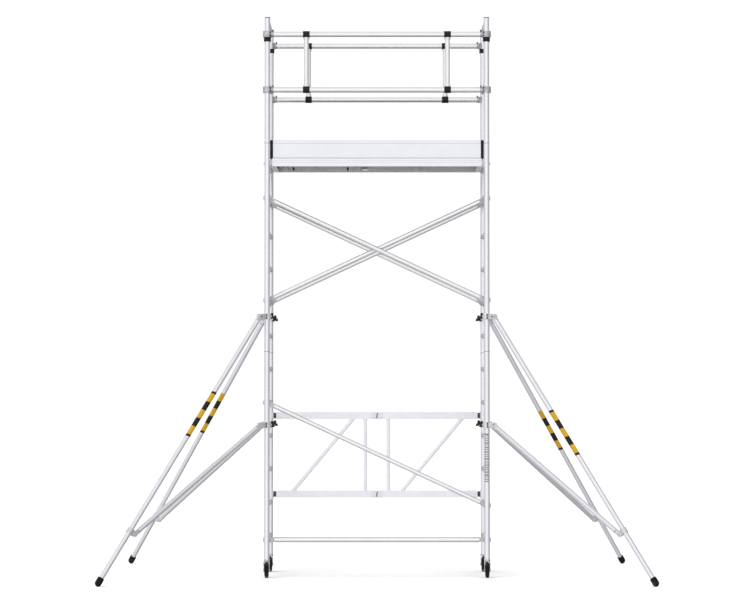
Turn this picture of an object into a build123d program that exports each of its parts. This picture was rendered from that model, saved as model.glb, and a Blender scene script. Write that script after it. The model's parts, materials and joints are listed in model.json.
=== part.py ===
from build123d import *
import os
from math import atan2, cos, degrees, hypot, radians, sin

os.makedirs("parts", exist_ok=True)

# Mobile tower scaffold.  Millimetres, +Z up, floor at Z = 0.
# X runs along the platform, Y across it, -Y is the open front side.

# ---------------------------------------------------------------- driving sizes
bay_length = 1800.0            # upright axis to upright axis, along X
frame_width = 750.0            # upright axis to upright axis, along Y
post_d = 46.0
post_wall = 2.5
rung_d = 35.0
rung_wall = 2.0
rung_pitch = 280.0
rungs_per_frame = 6
first_rung_rise = 160.0        # end of the upright to the first rung
base_splice_rise = 139.0       # last base rung to the first joint
upper_splice_rise = 169.0      # last upper rung to the second joint
guard_height = 1031.0          # second joint to the top of the uprights
guard_mid_rung_rise = 505.0
guard_top_rung_drop = 19.0
tube_chamfer = 1.0

fit_gap = 0.3                  # between fixed pieces that slip over each other
run_gap = 0.05                 # radial play of a pin or a shaft
side_gap = 0.3                 # axial play beside a moving piece

spigot_wall = 3.0
spigot_reach = 120.0
cap_height = 6.0
cap_plug = 20.0
collar_d = 58.0
collar_height = 36.0

brace_d = 38.0
brace_wall = 2.0
claw_radius = 34.0
claw_width = 36.0
claw_reach = 62.0
claw_throat = 30.0
latch_width = 12.0
latch_height = 7.0
brace_row_gap = 6.0            # between neighbouring claws on one rung
diagonal_high_rung = 4
diagonal_low_rung = 1
cross_low_rung = 7
cross_high_rung = 10
horizontal_rung = 0
horizontal_d = 45.0

deck_hook_rung = 11
deck_top_rise = 49.0           # hook rung axis to the walking surface
deck_end_gap = 38.0            # upright axis to the end of the deck frame
deck_side_gap = 32.0           # upright face to the side beam
deck_beam_width = 40.0
deck_beam_depth = 64.0
deck_beam_wall = 3.0
deck_groove = 1.5
deck_end_width = 35.0
ledge_width = 15.0
ledge_height = 4.0
panel_thickness = 12.0
panel_gap = 1.0
cross_member_width = 40.0
cross_member_depth = 36.0
hatch_end_strip = 55.0         # fixed strip beyond the hatch
hatch_length = 608.0
stiffener_offset = 494.0       # hatch edge to the middle bearer
hook_width = 40.0
hook_wall = 16.0
hatch_hinge_inset = 74.0
hinge_knuckle_d = 9.0
hinge_pin_d = 5.0
hinge_length = 60.0
hinge_leaf_width = 14.0
hinge_leaf_thickness = 2.5
hatch_grip_d = 36.0
hatch_grip_inset = 55.0

toe_height = 152.0
toe_thickness = 25.0
toe_wall = 2.5
toe_groove = 1.2
toe_inset = 1.0                # outer face behind the outer face of the deck beam
toe_end_inset = 7.0            # long board shorter than the deck frame
toe_bracket_reach = 18.0
toe_bracket_leg = 73.0
toe_bracket_trim = 1.5

rail_d = 45.0
rail_wall = 2.5
mid_rail_rise = 559.0          # walking surface to the middle guardrail
top_rail_rise = 1017.0
rail_claw_d = 74.0
rail_claw_height = 50.0
rail_claw_throat = 36.0
rail_claw_reach = 52.0
rail_post_inset = 320.0
rail_post_d = 40.0
joiner_d = 54.0
joiner_length = 55.0
joiner_socket_d = 50.0
joiner_socket_depth = 14.0
trigger_size = 12.0
trigger_length = 30.0

truss_top_rung = 3
truss_top_rise = 168.0           # above that rung
truss_bottom_rung = 1
truss_bottom_rise = 65.5
truss_beam_depth = 60.0
truss_beam_width = 30.0
truss_beam_wall = 3.0
truss_end_gap = 49.0           # upright axis to the end of the truss beam
truss_centre_gap = 3.0
truss_web_d = 33.0
truss_web_wall = 2.0
truss_post_x = 97.0
truss_left_insets = (121.0, 80.0)    # foot from the beam end, head from the post
truss_right_insets = (92.0, 110.0)   # foot from the post, head from the beam end
truss_collar_wall = 7.0
truss_knuckle_width = 13.0
truss_knuckle_height = 46.0
centre_hinge_leaf = 46.0
centre_hinge_thickness = 4.0
centre_hinge_knuckle_d = 14.0

wheel_d = 125.0
wheel_width = 33.0
tyre_thickness = 17.0
wheel_hub_d = 30.0
wheel_web = 10.0
wheel_edge = 6.0
axle_d = 12.0
axle_head_d = 19.0
axle_head = 5.0
fork_gap = 39.0                # between the fork cheeks
fork_plate = 4.0
crown_thickness = 6.0
crown_race_d = 48.0
crown_race = 5.7
kingpin_d = 12.0
kingpin_head_d = 19.0
kingpin_head = 3.3
stem_flange_d = 54.0
stem_flange = 6.0
stem_reach = 110.0
wheel_trail = 30.0
wheel_top_gap = 3.0
brake_pivot_gap = 7.5          # pin axis beyond the tyre
brake_pivot_angle = 53.130102  # above the horizontal, from the axle
brake_pin_d = 8.0
brake_width = 34.0
brake_length = 46.0
brake_thickness = 11.0
brake_shoe_gap = 2.2

outrigger_angle = 39.0         # plan angle from the X direction
outrigger_top_rung = 6
outrigger_top_rise = 144.0       # above that rung
outrigger_low_rung = 3
outrigger_low_rise = 97.0
outrigger_pivot_r = 70.0
foot_r = 1632.0                # plan distance of the foot from the upright axis
leg_d = 40.0
leg_wall = 2.5
foot_d = 54.0
foot_sleeve = 46.0
coupler_d = 68.0
coupler_height = 50.0
coupler_gap = 0.4              # coupler bore over the upright
cheek = 8.0
tongue = 24.0
tongue_radius = 18.0
tongue_reach = 46.0
leg_pin_d = 12.0
leg_pin_head_d = 20.0
leg_pin_head = 6.0
bracket_along = 2126.0         # along the leg, from its top pivot
bracket_offset = 50.0
bracket_length = 44.0
bracket_wall = 6.0
bracket_cheek = 6.0
slot_play = 0.6
slot_rise_angle = 16.0
boss_d = 28.0
boss_end_r = 40.0
stud_d = 10.0
stud_end_r = 80.0
knob_thickness = 22.0
knob_core_d = 36.0
knob_lobe_r = 21.0
knob_lobe_d = 22.0

# ---------------------------------------------------------------- derived places
half_bay = bay_length / 2
half_width = frame_width / 2
post_r = post_d / 2
rung_r = rung_d / 2
post_bore_r = post_r - post_wall
tube_bottom_z = wheel_d + wheel_top_gap + crown_thickness + crown_race + side_gap + stem_flange
first_rung_z = tube_bottom_z + first_rung_rise
last_base_rung_z = first_rung_z + (rungs_per_frame - 1) * rung_pitch
base_top_z = last_base_rung_z + base_splice_rise
last_upper_rung_z = last_base_rung_z + rungs_per_frame * rung_pitch
upper_top_z = last_upper_rung_z + upper_splice_rise
guard_top_z = upper_top_z + guard_height


def rung_z(k):
    return first_rung_z + k * rung_pitch


truss_top_z = rung_z(truss_top_rung) + truss_top_rise
truss_bottom_z = rung_z(truss_bottom_rung) + truss_bottom_rise
truss_collar_d = post_d + 2 * truss_collar_wall
outrigger_top_z = rung_z(outrigger_top_rung) + outrigger_top_rise
outrigger_low_z = rung_z(outrigger_low_rung) + outrigger_low_rise
deck_top_z = rung_z(deck_hook_rung) + deck_top_rise
deck_end_x = half_bay - deck_end_gap
deck_beam_y = half_width - post_r - deck_side_gap - deck_beam_width / 2
deck_inner_y = deck_beam_y - deck_beam_width / 2
deck_outer_y = deck_beam_y + deck_beam_width / 2
panel_bottom_z = deck_top_z - panel_thickness
hatch_left_x = -(deck_end_x - deck_end_width - hatch_end_strip)
hatch_right_x = hatch_left_x + hatch_length
stiffener_x = hatch_right_x + stiffener_offset
hatch_hinge_xs = (hatch_left_x + hatch_hinge_inset, hatch_right_x - hatch_hinge_inset)
rail_post_x = half_bay - rail_post_inset
mid_rail_z = deck_top_z + mid_rail_rise
top_rail_z = deck_top_z + top_rail_rise
row_a_y = half_width - post_r - claw_width / 2 - 1.0
row_b_y = row_a_y - claw_width - brace_row_gap


def save(piece, label):
    piece.label = label
    export_step(piece, f"parts/{label}.step")


def save_group(pieces, label):
    group = Compound(label=label, children=list(pieces))
    export_step(group, f"parts/{label}.step")


def unit(vector):
    length = hypot(*vector)
    return tuple(v / length for v in vector)


# ---------------------------------------------------------------- plain tubes
def tube(start, direction, length, outer_d, wall):
    with BuildPart() as pipe:
        with BuildSketch(Plane(origin=start, z_dir=direction)):
            Circle(outer_d / 2)
            Circle(outer_d / 2 - wall, mode=Mode.SUBTRACT)
        extrude(amount=length)
    return pipe.part


def upright(x, y, z_low, z_high):
    with BuildPart() as post:
        with BuildSketch(Plane((x, y, z_low))):
            Circle(post_r)
            Circle(post_bore_r, mode=Mode.SUBTRACT)
        extrude(amount=z_high - z_low)
        rims = post.edges().filter_by(GeomType.CIRCLE).filter_by(
            lambda e: abs(e.radius - post_r) < 0.01
        )
        chamfer(rims, tube_chamfer)
    return post.part


def rung(x, z):
    with BuildPart() as bar:
        with BuildSketch(Plane(origin=(x, -half_width, z), z_dir=(0, 1, 0))):
            Circle(rung_r)
            Circle(rung_r - rung_wall, mode=Mode.SUBTRACT)
        extrude(amount=frame_width)
        with BuildSketch(Plane((x, 0, z - post_d))):
            with Locations((0, -half_width), (0, half_width)):
                Circle(post_r)
        extrude(amount=2 * post_d, mode=Mode.SUBTRACT)
    return bar.part


def spigot(x, y, z_joint):
    outer_r = post_bore_r - fit_gap
    with BuildPart() as pin:
        with BuildSketch(Plane((x, y, z_joint - spigot_reach))):
            Circle(outer_r)
            Circle(outer_r - spigot_wall, mode=Mode.SUBTRACT)
        extrude(amount=2 * spigot_reach)
    return pin.part


# ---------------------------------------------------------------- ladder frames
sides = {"left": -1, "right": 1}
for side_name, sx in sides.items():
    frame_x = sx * half_bay
    base = [upright(frame_x, sy * half_width, tube_bottom_z, base_top_z) for sy in (-1, 1)]
    base += [rung(frame_x, rung_z(k)) for k in range(rungs_per_frame)]
    base += [spigot(frame_x, sy * half_width, base_top_z) for sy in (-1, 1)]
    save_group(base, f"base_frame_{side_name}")

    upper = [upright(frame_x, sy * half_width, base_top_z, upper_top_z) for sy in (-1, 1)]
    upper += [rung(frame_x, rung_z(k)) for k in range(rungs_per_frame, 2 * rungs_per_frame)]
    upper += [spigot(frame_x, sy * half_width, upper_top_z) for sy in (-1, 1)]
    save_group(upper, f"upper_frame_{side_name}")

    guard = [upright(frame_x, sy * half_width, upper_top_z, guard_top_z) for sy in (-1, 1)]
    guard.append(rung(frame_x, upper_top_z + guard_mid_rung_rise))
    guard.append(rung(frame_x, guard_top_z - guard_top_rung_drop))
    save_group(guard, f"guard_frame_{side_name}")


# ---------------------------------------------------------------- braces and claws
def brace_claw(x, y, z, direction):
    # C-shaped jaw over a rung, open downward, with a neck along the brace.
    along = unit((direction[0], 0, direction[1]))
    facing = (0, 1, 0) if direction[0] > 0 else (0, -1, 0)
    seat = Plane(origin=(x, y, z), x_dir=along, z_dir=facing)
    with BuildPart() as jaw:
        with BuildSketch(seat):
            Circle(claw_radius)
            Rectangle(claw_reach, brace_d, align=(Align.MIN, Align.CENTER))
            Circle(rung_r + fit_gap, mode=Mode.SUBTRACT)
            Rectangle(
                claw_throat,
                2 * claw_radius,
                align=(Align.CENTER, Align.MIN),
                mode=Mode.SUBTRACT,
            )
        extrude(amount=claw_width / 2, both=True)
    return jaw.part


def claw_latch(x, y, z, direction):
    # Spring tongue that closes the throat under the rung.
    along = unit((direction[0], 0, direction[1]))
    facing = (0, 1, 0) if direction[0] > 0 else (0, -1, 0)
    seat = Plane(origin=(x, y, z), x_dir=along, z_dir=facing)
    with BuildPart() as tongue_bar:
        with BuildSketch(seat):
            with Locations((0, rung_r + fit_gap + latch_height / 2 + 1)):
                Rectangle(claw_throat - fit_gap, latch_height)
        extrude(amount=latch_width / 2, both=True)
    return tongue_bar.part


claws = []


def brace(y, left_z, right_z, outer_d):
    rise = right_z - left_z
    length = hypot(bay_length, rise)
    along = unit((bay_length, 0, rise))
    start = (-half_bay + along[0] * claw_reach, y, left_z + along[2] * claw_reach)
    claws.append(brace_claw(-half_bay, y, left_z, (bay_length, rise)))
    claws.append(claw_latch(-half_bay, y, left_z, (bay_length, rise)))
    claws.append(brace_claw(half_bay, y, right_z, (-bay_length, -rise)))
    claws.append(claw_latch(half_bay, y, right_z, (-bay_length, -rise)))
    return tube(start, along, length - 2 * claw_reach, outer_d, brace_wall)


high = rung_z(cross_high_rung)
low = rung_z(cross_low_rung)
front_pair = [brace(-row_a_y, high, low, brace_d), brace(-row_b_y, low, high, brace_d)]
back_pair = [brace(row_a_y, high, low, brace_d), brace(row_b_y, low, high, brace_d)]
save_group(front_pair, "cross_braces_front")
save_group(back_pair, "cross_braces_back")

diagonal = brace(-row_a_y, rung_z(diagonal_high_rung), rung_z(diagonal_low_rung), brace_d)
save(diagonal, "base_diagonal_brace")

horizontal_z = rung_z(horizontal_rung)
horizontal = brace(-row_a_y, horizontal_z, horizontal_z, horizontal_d)
save(horizontal, "base_horizontal_brace")
save_group(claws, "brace_claws")


# ---------------------------------------------------------------- guardrails
def rail_claw(sx, sy, z):
    # Casting round the outer side of the upright, open toward the platform.
    with BuildPart() as jaw:
        with BuildSketch(Plane((sx * half_bay, sy * half_width, z - rail_claw_height / 2))):
            Circle(rail_claw_d / 2)
            Circle(post_r + fit_gap, mode=Mode.SUBTRACT)
            with Locations((0, -sy * rail_claw_d / 2)):
                Rectangle(rail_claw_throat, rail_claw_d, mode=Mode.SUBTRACT)
        extrude(amount=rail_claw_height)
        neck_x = sx * (half_bay - post_r - 8)
        with BuildSketch(Plane(origin=(neck_x, sy * half_width, z), z_dir=(-sx, 0, 0))):
            Circle(rail_d / 2 + 1)
        extrude(amount=rail_claw_reach - post_r - 8)
    return jaw.part


def rail_trigger(sx, sy, z):
    # Release lever on the neck of the rail claw.
    lever_x = sx * (half_bay - rail_claw_reach + trigger_size / 2)
    with BuildPart() as lever:
        with BuildSketch(Plane((lever_x, sy * half_width, z + rail_d / 2 + 1))):
            Rectangle(trigger_size, trigger_length / 2)
        extrude(amount=trigger_size)
    return lever.part


def joiner(x, y, z, toward):
    # Moulded tee: a sleeve over the rail and a socket for the short post.
    with BuildPart() as tee:
        with BuildSketch(Plane(origin=(x - joiner_length / 2, y, z), z_dir=(1, 0, 0))):
            Circle(joiner_d / 2)
        extrude(amount=joiner_length)
        with BuildSketch(Plane(origin=(x, y, z), z_dir=(0, 0, toward))):
            Circle(joiner_socket_d / 2)
        extrude(amount=joiner_d / 2 + joiner_socket_depth)
        with BuildSketch(Plane(origin=(x - joiner_length, y, z), z_dir=(1, 0, 0))):
            Circle(rail_d / 2 + fit_gap)
        extrude(amount=2 * joiner_length, mode=Mode.SUBTRACT)
        socket_z = z + toward * joiner_d / 2
        with BuildSketch(Plane(origin=(x, y, socket_z), z_dir=(0, 0, toward))):
            Circle(rail_post_d / 2 + fit_gap)
        extrude(amount=joiner_socket_depth, mode=Mode.SUBTRACT)
    return tee.part


rail_claws = []
sleeves = []
for side_name, sy in {"front": -1, "back": 1}.items():
    rail_y = sy * half_width
    rail_start = -half_bay + rail_claw_reach
    rail_length = bay_length - 2 * rail_claw_reach
    panel = []
    for rail_z in (mid_rail_z, top_rail_z):
        panel.append(tube((rail_start, rail_y, rail_z), (1, 0, 0), rail_length, rail_d, rail_wall))
        for sx in (-1, 1):
            rail_claws.append(rail_claw(sx, sy, rail_z))
            rail_claws.append(rail_trigger(sx, sy, rail_z))
    post_low = mid_rail_z + joiner_d / 2
    post_length = top_rail_z - mid_rail_z - joiner_d
    for sx in (-1, 1):
        post_x = sx * rail_post_x
        panel.append(tube((post_x, rail_y, post_low), (0, 0, 1), post_length, rail_post_d, rail_wall))
        sleeves.append(joiner(post_x, rail_y, mid_rail_z, 1))
        sleeves.append(joiner(post_x, rail_y, top_rail_z, -1))
    save_group(panel, f"guardrail_{side_name}")
save_group(rail_claws, "guardrail_claws")


# ---------------------------------------------------------------- post collars and caps
def post_collar(x, y):
    top = top_rail_z - rail_claw_height / 2
    with BuildPart() as ring:
        with BuildSketch(Plane((x, y, top - collar_height))):
            Circle(collar_d / 2)
            Circle(post_r + fit_gap, mode=Mode.SUBTRACT)
        extrude(amount=collar_height)
    return ring.part


def post_cap(x, y):
    with BuildPart() as cap:
        with BuildSketch(Plane((x, y, guard_top_z))):
            Circle(post_r)
        extrude(amount=cap_height)
        chamfer(cap.faces().sort_by(Axis.Z)[-1].edges(), 2.0)
        with BuildSketch(Plane((x, y, guard_top_z - cap_plug))):
            Circle(post_bore_r - fit_gap)
        extrude(amount=cap_plug)
    return cap.part


for sx in (-1, 1):
    for sy in (-1, 1):
        sleeves.append(post_collar(sx * half_bay, sy * half_width))
        sleeves.append(post_cap(sx * half_bay, sy * half_width))
save_group(sleeves, "post_and_rail_sleeves")


# ---------------------------------------------------------------- folding truss
def box_tube(plane, length, width, depth, wall):
    with BuildPart() as bar:
        with BuildSketch(plane):
            Rectangle(width, depth)
            Rectangle(width - 2 * wall, depth - 2 * wall, mode=Mode.SUBTRACT)
        extrude(amount=length)
    return bar.part


def truss_beam(sx, z):
    far_x = sx * (half_bay - truss_end_gap)
    length = half_bay - truss_end_gap - truss_centre_gap
    place = Plane(origin=(far_x, half_width, z), x_dir=(0, 1, 0), z_dir=(-sx, 0, 0))
    return box_tube(place, length, truss_beam_width, truss_beam_depth, truss_beam_wall)


def truss_web(low_x, high_x):
    # Round web tube between the inner faces of the two beams.
    z_low = truss_bottom_z + truss_beam_depth / 2
    z_high = truss_top_z - truss_beam_depth / 2
    along = unit((high_x - low_x, 0, truss_top_z - truss_bottom_z))
    length = hypot(high_x - low_x, truss_top_z - truss_bottom_z)
    start = (low_x, half_width, truss_bottom_z)
    with BuildPart() as web:
        with BuildSketch(Plane(origin=start, z_dir=along)):
            Circle(truss_web_d / 2)
            Circle(truss_web_d / 2 - truss_web_wall, mode=Mode.SUBTRACT)
        extrude(amount=length)
        split(bisect_by=Plane((0, 0, z_low)), keep=Keep.TOP)
        split(bisect_by=Plane((0, 0, z_high)), keep=Keep.BOTTOM)
    return web.part


truss_end_x = half_bay - truss_end_gap
truss_diagonals = {
    "left": (-truss_end_x + truss_left_insets[0], -truss_post_x - truss_left_insets[1]),
    "right": (truss_post_x + truss_right_insets[0], truss_end_x - truss_right_insets[1]),
}
for side_name, sx in sides.items():
    panel = [truss_beam(sx, truss_bottom_z), truss_beam(sx, truss_top_z)]
    panel.append(truss_web(sx * truss_post_x, sx * truss_post_x))
    panel.append(truss_web(*truss_diagonals[side_name]))
    save_group(panel, f"truss_panel_{side_name}")


def truss_collar(sx, z):
    # Strap round the upright.
    with BuildPart() as strap:
        with BuildSketch(Plane((sx * half_bay, half_width, z - truss_beam_depth / 2))):
            Circle(truss_collar_d / 2)
            Circle(post_r + fit_gap, mode=Mode.SUBTRACT)
        extrude(amount=truss_beam_depth)
    return strap.part


def truss_knuckle(sx, z):
    # Hinge block between the strap and the end of the beam.
    near = half_bay - truss_end_gap
    far = half_bay - post_r - fit_gap
    with BuildPart() as block:
        with BuildSketch(Plane((sx * (near + far) / 2, half_width, z - truss_knuckle_height / 2))):
            Rectangle(far - near, truss_beam_width - 4)
            with Locations((sx * (half_bay - (near + far) / 2), 0)):
                Circle(truss_collar_d / 2, mode=Mode.SUBTRACT)
        extrude(amount=truss_knuckle_height)
    return block.part


def centre_hinge(z):
    face_y = half_width - truss_beam_width / 2
    low_z = z - truss_knuckle_height / 2
    with BuildPart() as hinge:
        with BuildSketch(Plane((0, face_y - centre_hinge_thickness / 2, low_z))):
            with Locations((-centre_hinge_leaf / 2, 0), (centre_hinge_leaf / 2, 0)):
                Rectangle(centre_hinge_leaf, centre_hinge_thickness)
            with Locations((0, -centre_hinge_thickness)):
                Circle(centre_hinge_knuckle_d / 2)
            with Locations((0, centre_hinge_thickness)):
                Rectangle(
                    2 * centre_hinge_knuckle_d,
                    centre_hinge_thickness,
                    mode=Mode.SUBTRACT,
                )
        extrude(amount=truss_knuckle_height)
    return hinge.part


hinges = []
for z in (truss_bottom_z, truss_top_z):
    for sx in (-1, 1):
        hinges.append(truss_collar(sx, z))
        hinges.append(truss_knuckle(sx, z))
    hinges.append(centre_hinge(z))
save_group(hinges, "truss_hinges")


# ---------------------------------------------------------------- platform frame
def deck_side_beam(sy):
    mid_z = deck_top_z - deck_beam_depth / 2
    inner = deck_beam_width - 2 * deck_beam_wall
    core = deck_beam_depth - 2 * deck_beam_wall
    with BuildPart() as beam:
        place = Plane(origin=(-deck_end_x, sy * deck_beam_y, mid_z), x_dir=(0, 1, 0), z_dir=(1, 0, 0))
        with BuildSketch(place):
            Rectangle(deck_beam_width, deck_beam_depth)
            Rectangle(inner, core, mode=Mode.SUBTRACT)
            with Locations((sy * deck_beam_width / 2, -4), (sy * deck_beam_width / 2, 12)):
                Rectangle(2 * deck_groove, 3, mode=Mode.SUBTRACT)
        extrude(amount=2 * deck_end_x)
        run = deck_end_x - deck_end_width
        ledge_y = sy * (deck_inner_y - ledge_width / 2)
        ledge_z = panel_bottom_z - ledge_height / 2
        shelf = Plane(origin=(-run, ledge_y, ledge_z), x_dir=(0, 1, 0), z_dir=(1, 0, 0))
        with BuildSketch(shelf):
            Rectangle(ledge_width, ledge_height)
        extrude(amount=2 * run)
    return beam.part


def deck_end_beam(sx):
    x = sx * (deck_end_x - deck_end_width / 2)
    place = Plane(
        origin=(x, -deck_inner_y, deck_top_z - deck_beam_depth / 2),
        x_dir=(1, 0, 0),
        z_dir=(0, 1, 0),
    )
    return box_tube(place, 2 * deck_inner_y, deck_end_width, deck_beam_depth, deck_beam_wall)


def deck_cross_member(x):
    top = panel_bottom_z - ledge_height
    with BuildPart() as member:
        with BuildSketch(Plane((x, 0, top - cross_member_depth))):
            Rectangle(cross_member_width, 2 * deck_inner_y)
        extrude(amount=cross_member_depth)
        channel_w = cross_member_width - 2 * deck_beam_wall
        with BuildSketch(Plane((x, 0, top - cross_member_depth))):
            Rectangle(channel_w, 2 * deck_inner_y)
        extrude(amount=cross_member_depth - deck_beam_wall, mode=Mode.SUBTRACT)
        with BuildSketch(Plane((x, 0, top))):
            Rectangle(cross_member_width, 2 * (deck_inner_y - ledge_width))
        extrude(amount=ledge_height)
    return member.part


def deck_hook(sx, sy):
    # Half ring that hangs the deck frame on the rung.
    axis_z = rung_z(deck_hook_rung)
    place = Plane(origin=(sx * half_bay, sy * deck_beam_y, axis_z), x_dir=(-sx, 0, 0), z_dir=(0, sx, 0))
    with BuildPart() as hook:
        with BuildSketch(place):
            Circle(rung_r + hook_wall)
            Rectangle(deck_end_gap, rung_r + hook_wall, align=(Align.MIN, Align.MIN))
            Circle(rung_r + fit_gap, mode=Mode.SUBTRACT)
            with Locations((-2 * claw_radius, -4)):
                Rectangle(
                    2 * claw_radius + rung_r + fit_gap,
                    2 * claw_radius,
                    align=(Align.MIN, Align.MAX),
                    mode=Mode.SUBTRACT,
                )
        extrude(amount=hook_width / 2, both=True)
    return hook.part


hinge_axis_y = deck_inner_y - 2.0
hinge_axis_z = deck_top_z + 4.5


def fixed_hinge(x):
    # Outer knuckles and leaf on the back beam, with the pin through them.
    part_length = hinge_length / 3
    with BuildPart() as leaf:
        for end in (-1, 1):
            start_x = x + end * hinge_length / 3 - part_length / 2 + side_gap
            with BuildSketch(Plane(origin=(start_x, hinge_axis_y, hinge_axis_z), z_dir=(1, 0, 0))):
                Circle(hinge_knuckle_d / 2)
            extrude(amount=part_length - 2 * side_gap)
            with BuildSketch(Plane((start_x + part_length / 2 - side_gap, deck_inner_y, deck_top_z))):
                Rectangle(
                    part_length - 2 * side_gap,
                    hinge_leaf_width,
                    align=(Align.CENTER, Align.MIN),
                )
            extrude(amount=hinge_leaf_thickness)
        with BuildSketch(Plane((x, deck_inner_y + 6, deck_top_z))):
            Rectangle(hinge_length - 2 * side_gap, 8, align=(Align.CENTER, Align.MIN))
        extrude(amount=hinge_leaf_thickness)
        pin_start = x - hinge_length / 2 + side_gap
        with BuildSketch(Plane(origin=(pin_start, hinge_axis_y, hinge_axis_z), z_dir=(1, 0, 0))):
            Circle(hinge_pin_d / 2)
        extrude(amount=hinge_length - 2 * side_gap)
    return leaf.part


deck = [deck_side_beam(sy) for sy in (-1, 1)]
deck += [deck_end_beam(sx) for sx in (-1, 1)]
deck += [deck_cross_member(x) for x in (hatch_left_x, hatch_right_x, stiffener_x)]
deck += [deck_hook(sx, sy) for sx in (-1, 1) for sy in (-1, 1)]
deck += [fixed_hinge(x) for x in hatch_hinge_xs]
save_group(deck, "deck_frame")


def deck_board(x_low, x_high, z_low):
    with BuildPart() as board:
        with BuildSketch(Plane(((x_low + x_high) / 2, 0, z_low))):
            Rectangle(x_high - x_low, 2 * (deck_inner_y - panel_gap))
        extrude(amount=deck_top_z - z_low)
    return board.part


panel_end_x = deck_end_x - deck_end_width - panel_gap
strip = deck_board(-panel_end_x, hatch_left_x - panel_gap, panel_bottom_z)
floor_panel = deck_board(hatch_right_x + panel_gap, panel_end_x, panel_bottom_z)
save_group([strip, floor_panel], "deck_panel")

hatch_low_x = hatch_left_x + panel_gap
hatch_high_x = hatch_right_x - panel_gap
hatch_mid_x = (hatch_low_x + hatch_high_x) / 2
with BuildPart() as hatch:
    with BuildSketch(Plane((hatch_mid_x, 0, panel_bottom_z + side_gap))):
        Rectangle(hatch_high_x - hatch_low_x, 2 * (deck_inner_y - panel_gap))
        with Locations((0, -deck_inner_y + hatch_grip_inset)):
            Circle(hatch_grip_d / 2, mode=Mode.SUBTRACT)
    extrude(amount=panel_thickness - side_gap)
    middle = hinge_length / 3 - 2 * side_gap
    for hinge_x in hatch_hinge_xs:
        with BuildSketch(Plane((hinge_x, hinge_axis_y, deck_top_z))):
            Rectangle(middle, hinge_leaf_width, align=(Align.CENTER, Align.MAX))
        extrude(amount=hinge_leaf_thickness)
        with BuildSketch(
            Plane(origin=(hinge_x - middle / 2, hinge_axis_y, hinge_axis_z), z_dir=(1, 0, 0))
        ):
            Circle(hinge_knuckle_d / 2)
        extrude(amount=middle)
        with BuildSketch(
            Plane(origin=(hinge_x - middle, hinge_axis_y, hinge_axis_z), z_dir=(1, 0, 0))
        ):
            Circle(hinge_pin_d / 2 + run_gap)
        extrude(amount=2 * middle, mode=Mode.SUBTRACT)
save(hatch.part, "hatch_panel")

# ---------------------------------------------------------------- toe boards
toe_outer_y = deck_outer_y - toe_inset
toe_inner_y = toe_outer_y - toe_thickness
toe_long_x = deck_end_x - toe_end_inset


def toe_board(plane, length, groove_side):
    with BuildPart() as board:
        with BuildSketch(plane):
            Rectangle(toe_thickness, toe_height)
            Rectangle(toe_thickness - 2 * toe_wall, toe_height - 2 * toe_wall, mode=Mode.SUBTRACT)
            edge = groove_side * toe_thickness / 2
            with Locations((edge, toe_height / 2 - 28), (edge, -toe_height / 2 + 14)):
                Rectangle(2 * toe_groove, 3, mode=Mode.SUBTRACT)
        extrude(amount=length)
    return board.part


boards = []
toe_mid_z = deck_top_z + toe_height / 2
for sy in (-1, 1):
    mid_y = sy * (toe_outer_y - toe_thickness / 2)
    place = Plane(origin=(-toe_long_x, mid_y, toe_mid_z), x_dir=(0, 1, 0), z_dir=(1, 0, 0))
    boards.append(toe_board(place, 2 * toe_long_x, sy))
for sx in (-1, 1):
    mid_x = sx * (deck_end_x - toe_thickness / 2)
    start_y = -toe_inner_y + 2
    place = Plane(origin=(mid_x, start_y, toe_mid_z), x_dir=(-1, 0, 0), z_dir=(0, 1, 0))
    boards.append(toe_board(place, -2 * start_y, -sx))
save_group(boards, "toe_boards")


def toe_bracket(sx, sy):
    # Angle piece over the outer corner of two toe boards.
    outer_x = deck_end_x + toe_bracket_reach
    outer_y = toe_outer_y + 2
    x_face = deck_end_x + fit_gap
    x_end = toe_long_x + fit_gap
    with BuildPart() as angle:
        with BuildSketch(Plane((0, 0, deck_top_z + toe_bracket_trim))):
            with Locations((sx * (x_face + outer_x) / 2, sy * (outer_y - toe_bracket_leg / 2))):
                Rectangle(outer_x - x_face, toe_bracket_leg)
            with Locations((sx * (x_end + outer_x) / 2, sy * (toe_inner_y + outer_y) / 2)):
                Rectangle(outer_x - x_end, outer_y - toe_inner_y)
        extrude(amount=toe_height - 2 * toe_bracket_trim)
        fillet(angle.edges().filter_by(Axis.Z).sort_by(
            lambda e: hypot(e.center().X, e.center().Y))[-1], 6.0)
    return angle.part


save_group([toe_bracket(sx, sy) for sx in (-1, 1) for sy in (-1, 1)], "toe_board_brackets")

# ---------------------------------------------------------------- casters
axle_z = wheel_d / 2
crown_low_z = wheel_d + wheel_top_gap
crown_high_z = crown_low_z + crown_thickness
flange_low_z = tube_bottom_z - stem_flange
trail_dir = -1                 # the wheels trail toward the front
brake_pivot_r = wheel_d / 2 + brake_pivot_gap
brake_pivot = (
    brake_pivot_r * cos(radians(brake_pivot_angle)),
    brake_pivot_r * sin(radians(brake_pivot_angle)),
)


def caster_stem(x, y):
    # Plug in the upright, flange under it and king pin through the crown.
    plug_r = post_bore_r - fit_gap
    head_top = crown_low_z - side_gap
    with BuildPart() as stem:
        with BuildSketch(Plane(origin=(x, y, 0), x_dir=(1, 0, 0), z_dir=(0, -1, 0))):
            with BuildLine():
                Polyline(
                    (0, head_top - kingpin_head),
                    (kingpin_head_d / 2, head_top - kingpin_head),
                    (kingpin_head_d / 2, head_top),
                    (kingpin_d / 2, head_top),
                    (kingpin_d / 2, flange_low_z),
                    (stem_flange_d / 2, flange_low_z),
                    (stem_flange_d / 2, tube_bottom_z),
                    (plug_r, tube_bottom_z),
                    (plug_r, tube_bottom_z + stem_reach),
                    (0, tube_bottom_z + stem_reach),
                    close=True,
                )
            make_face()
        revolve(axis=Axis((x, y, 0), (0, 0, 1)))
    return stem.part


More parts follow.
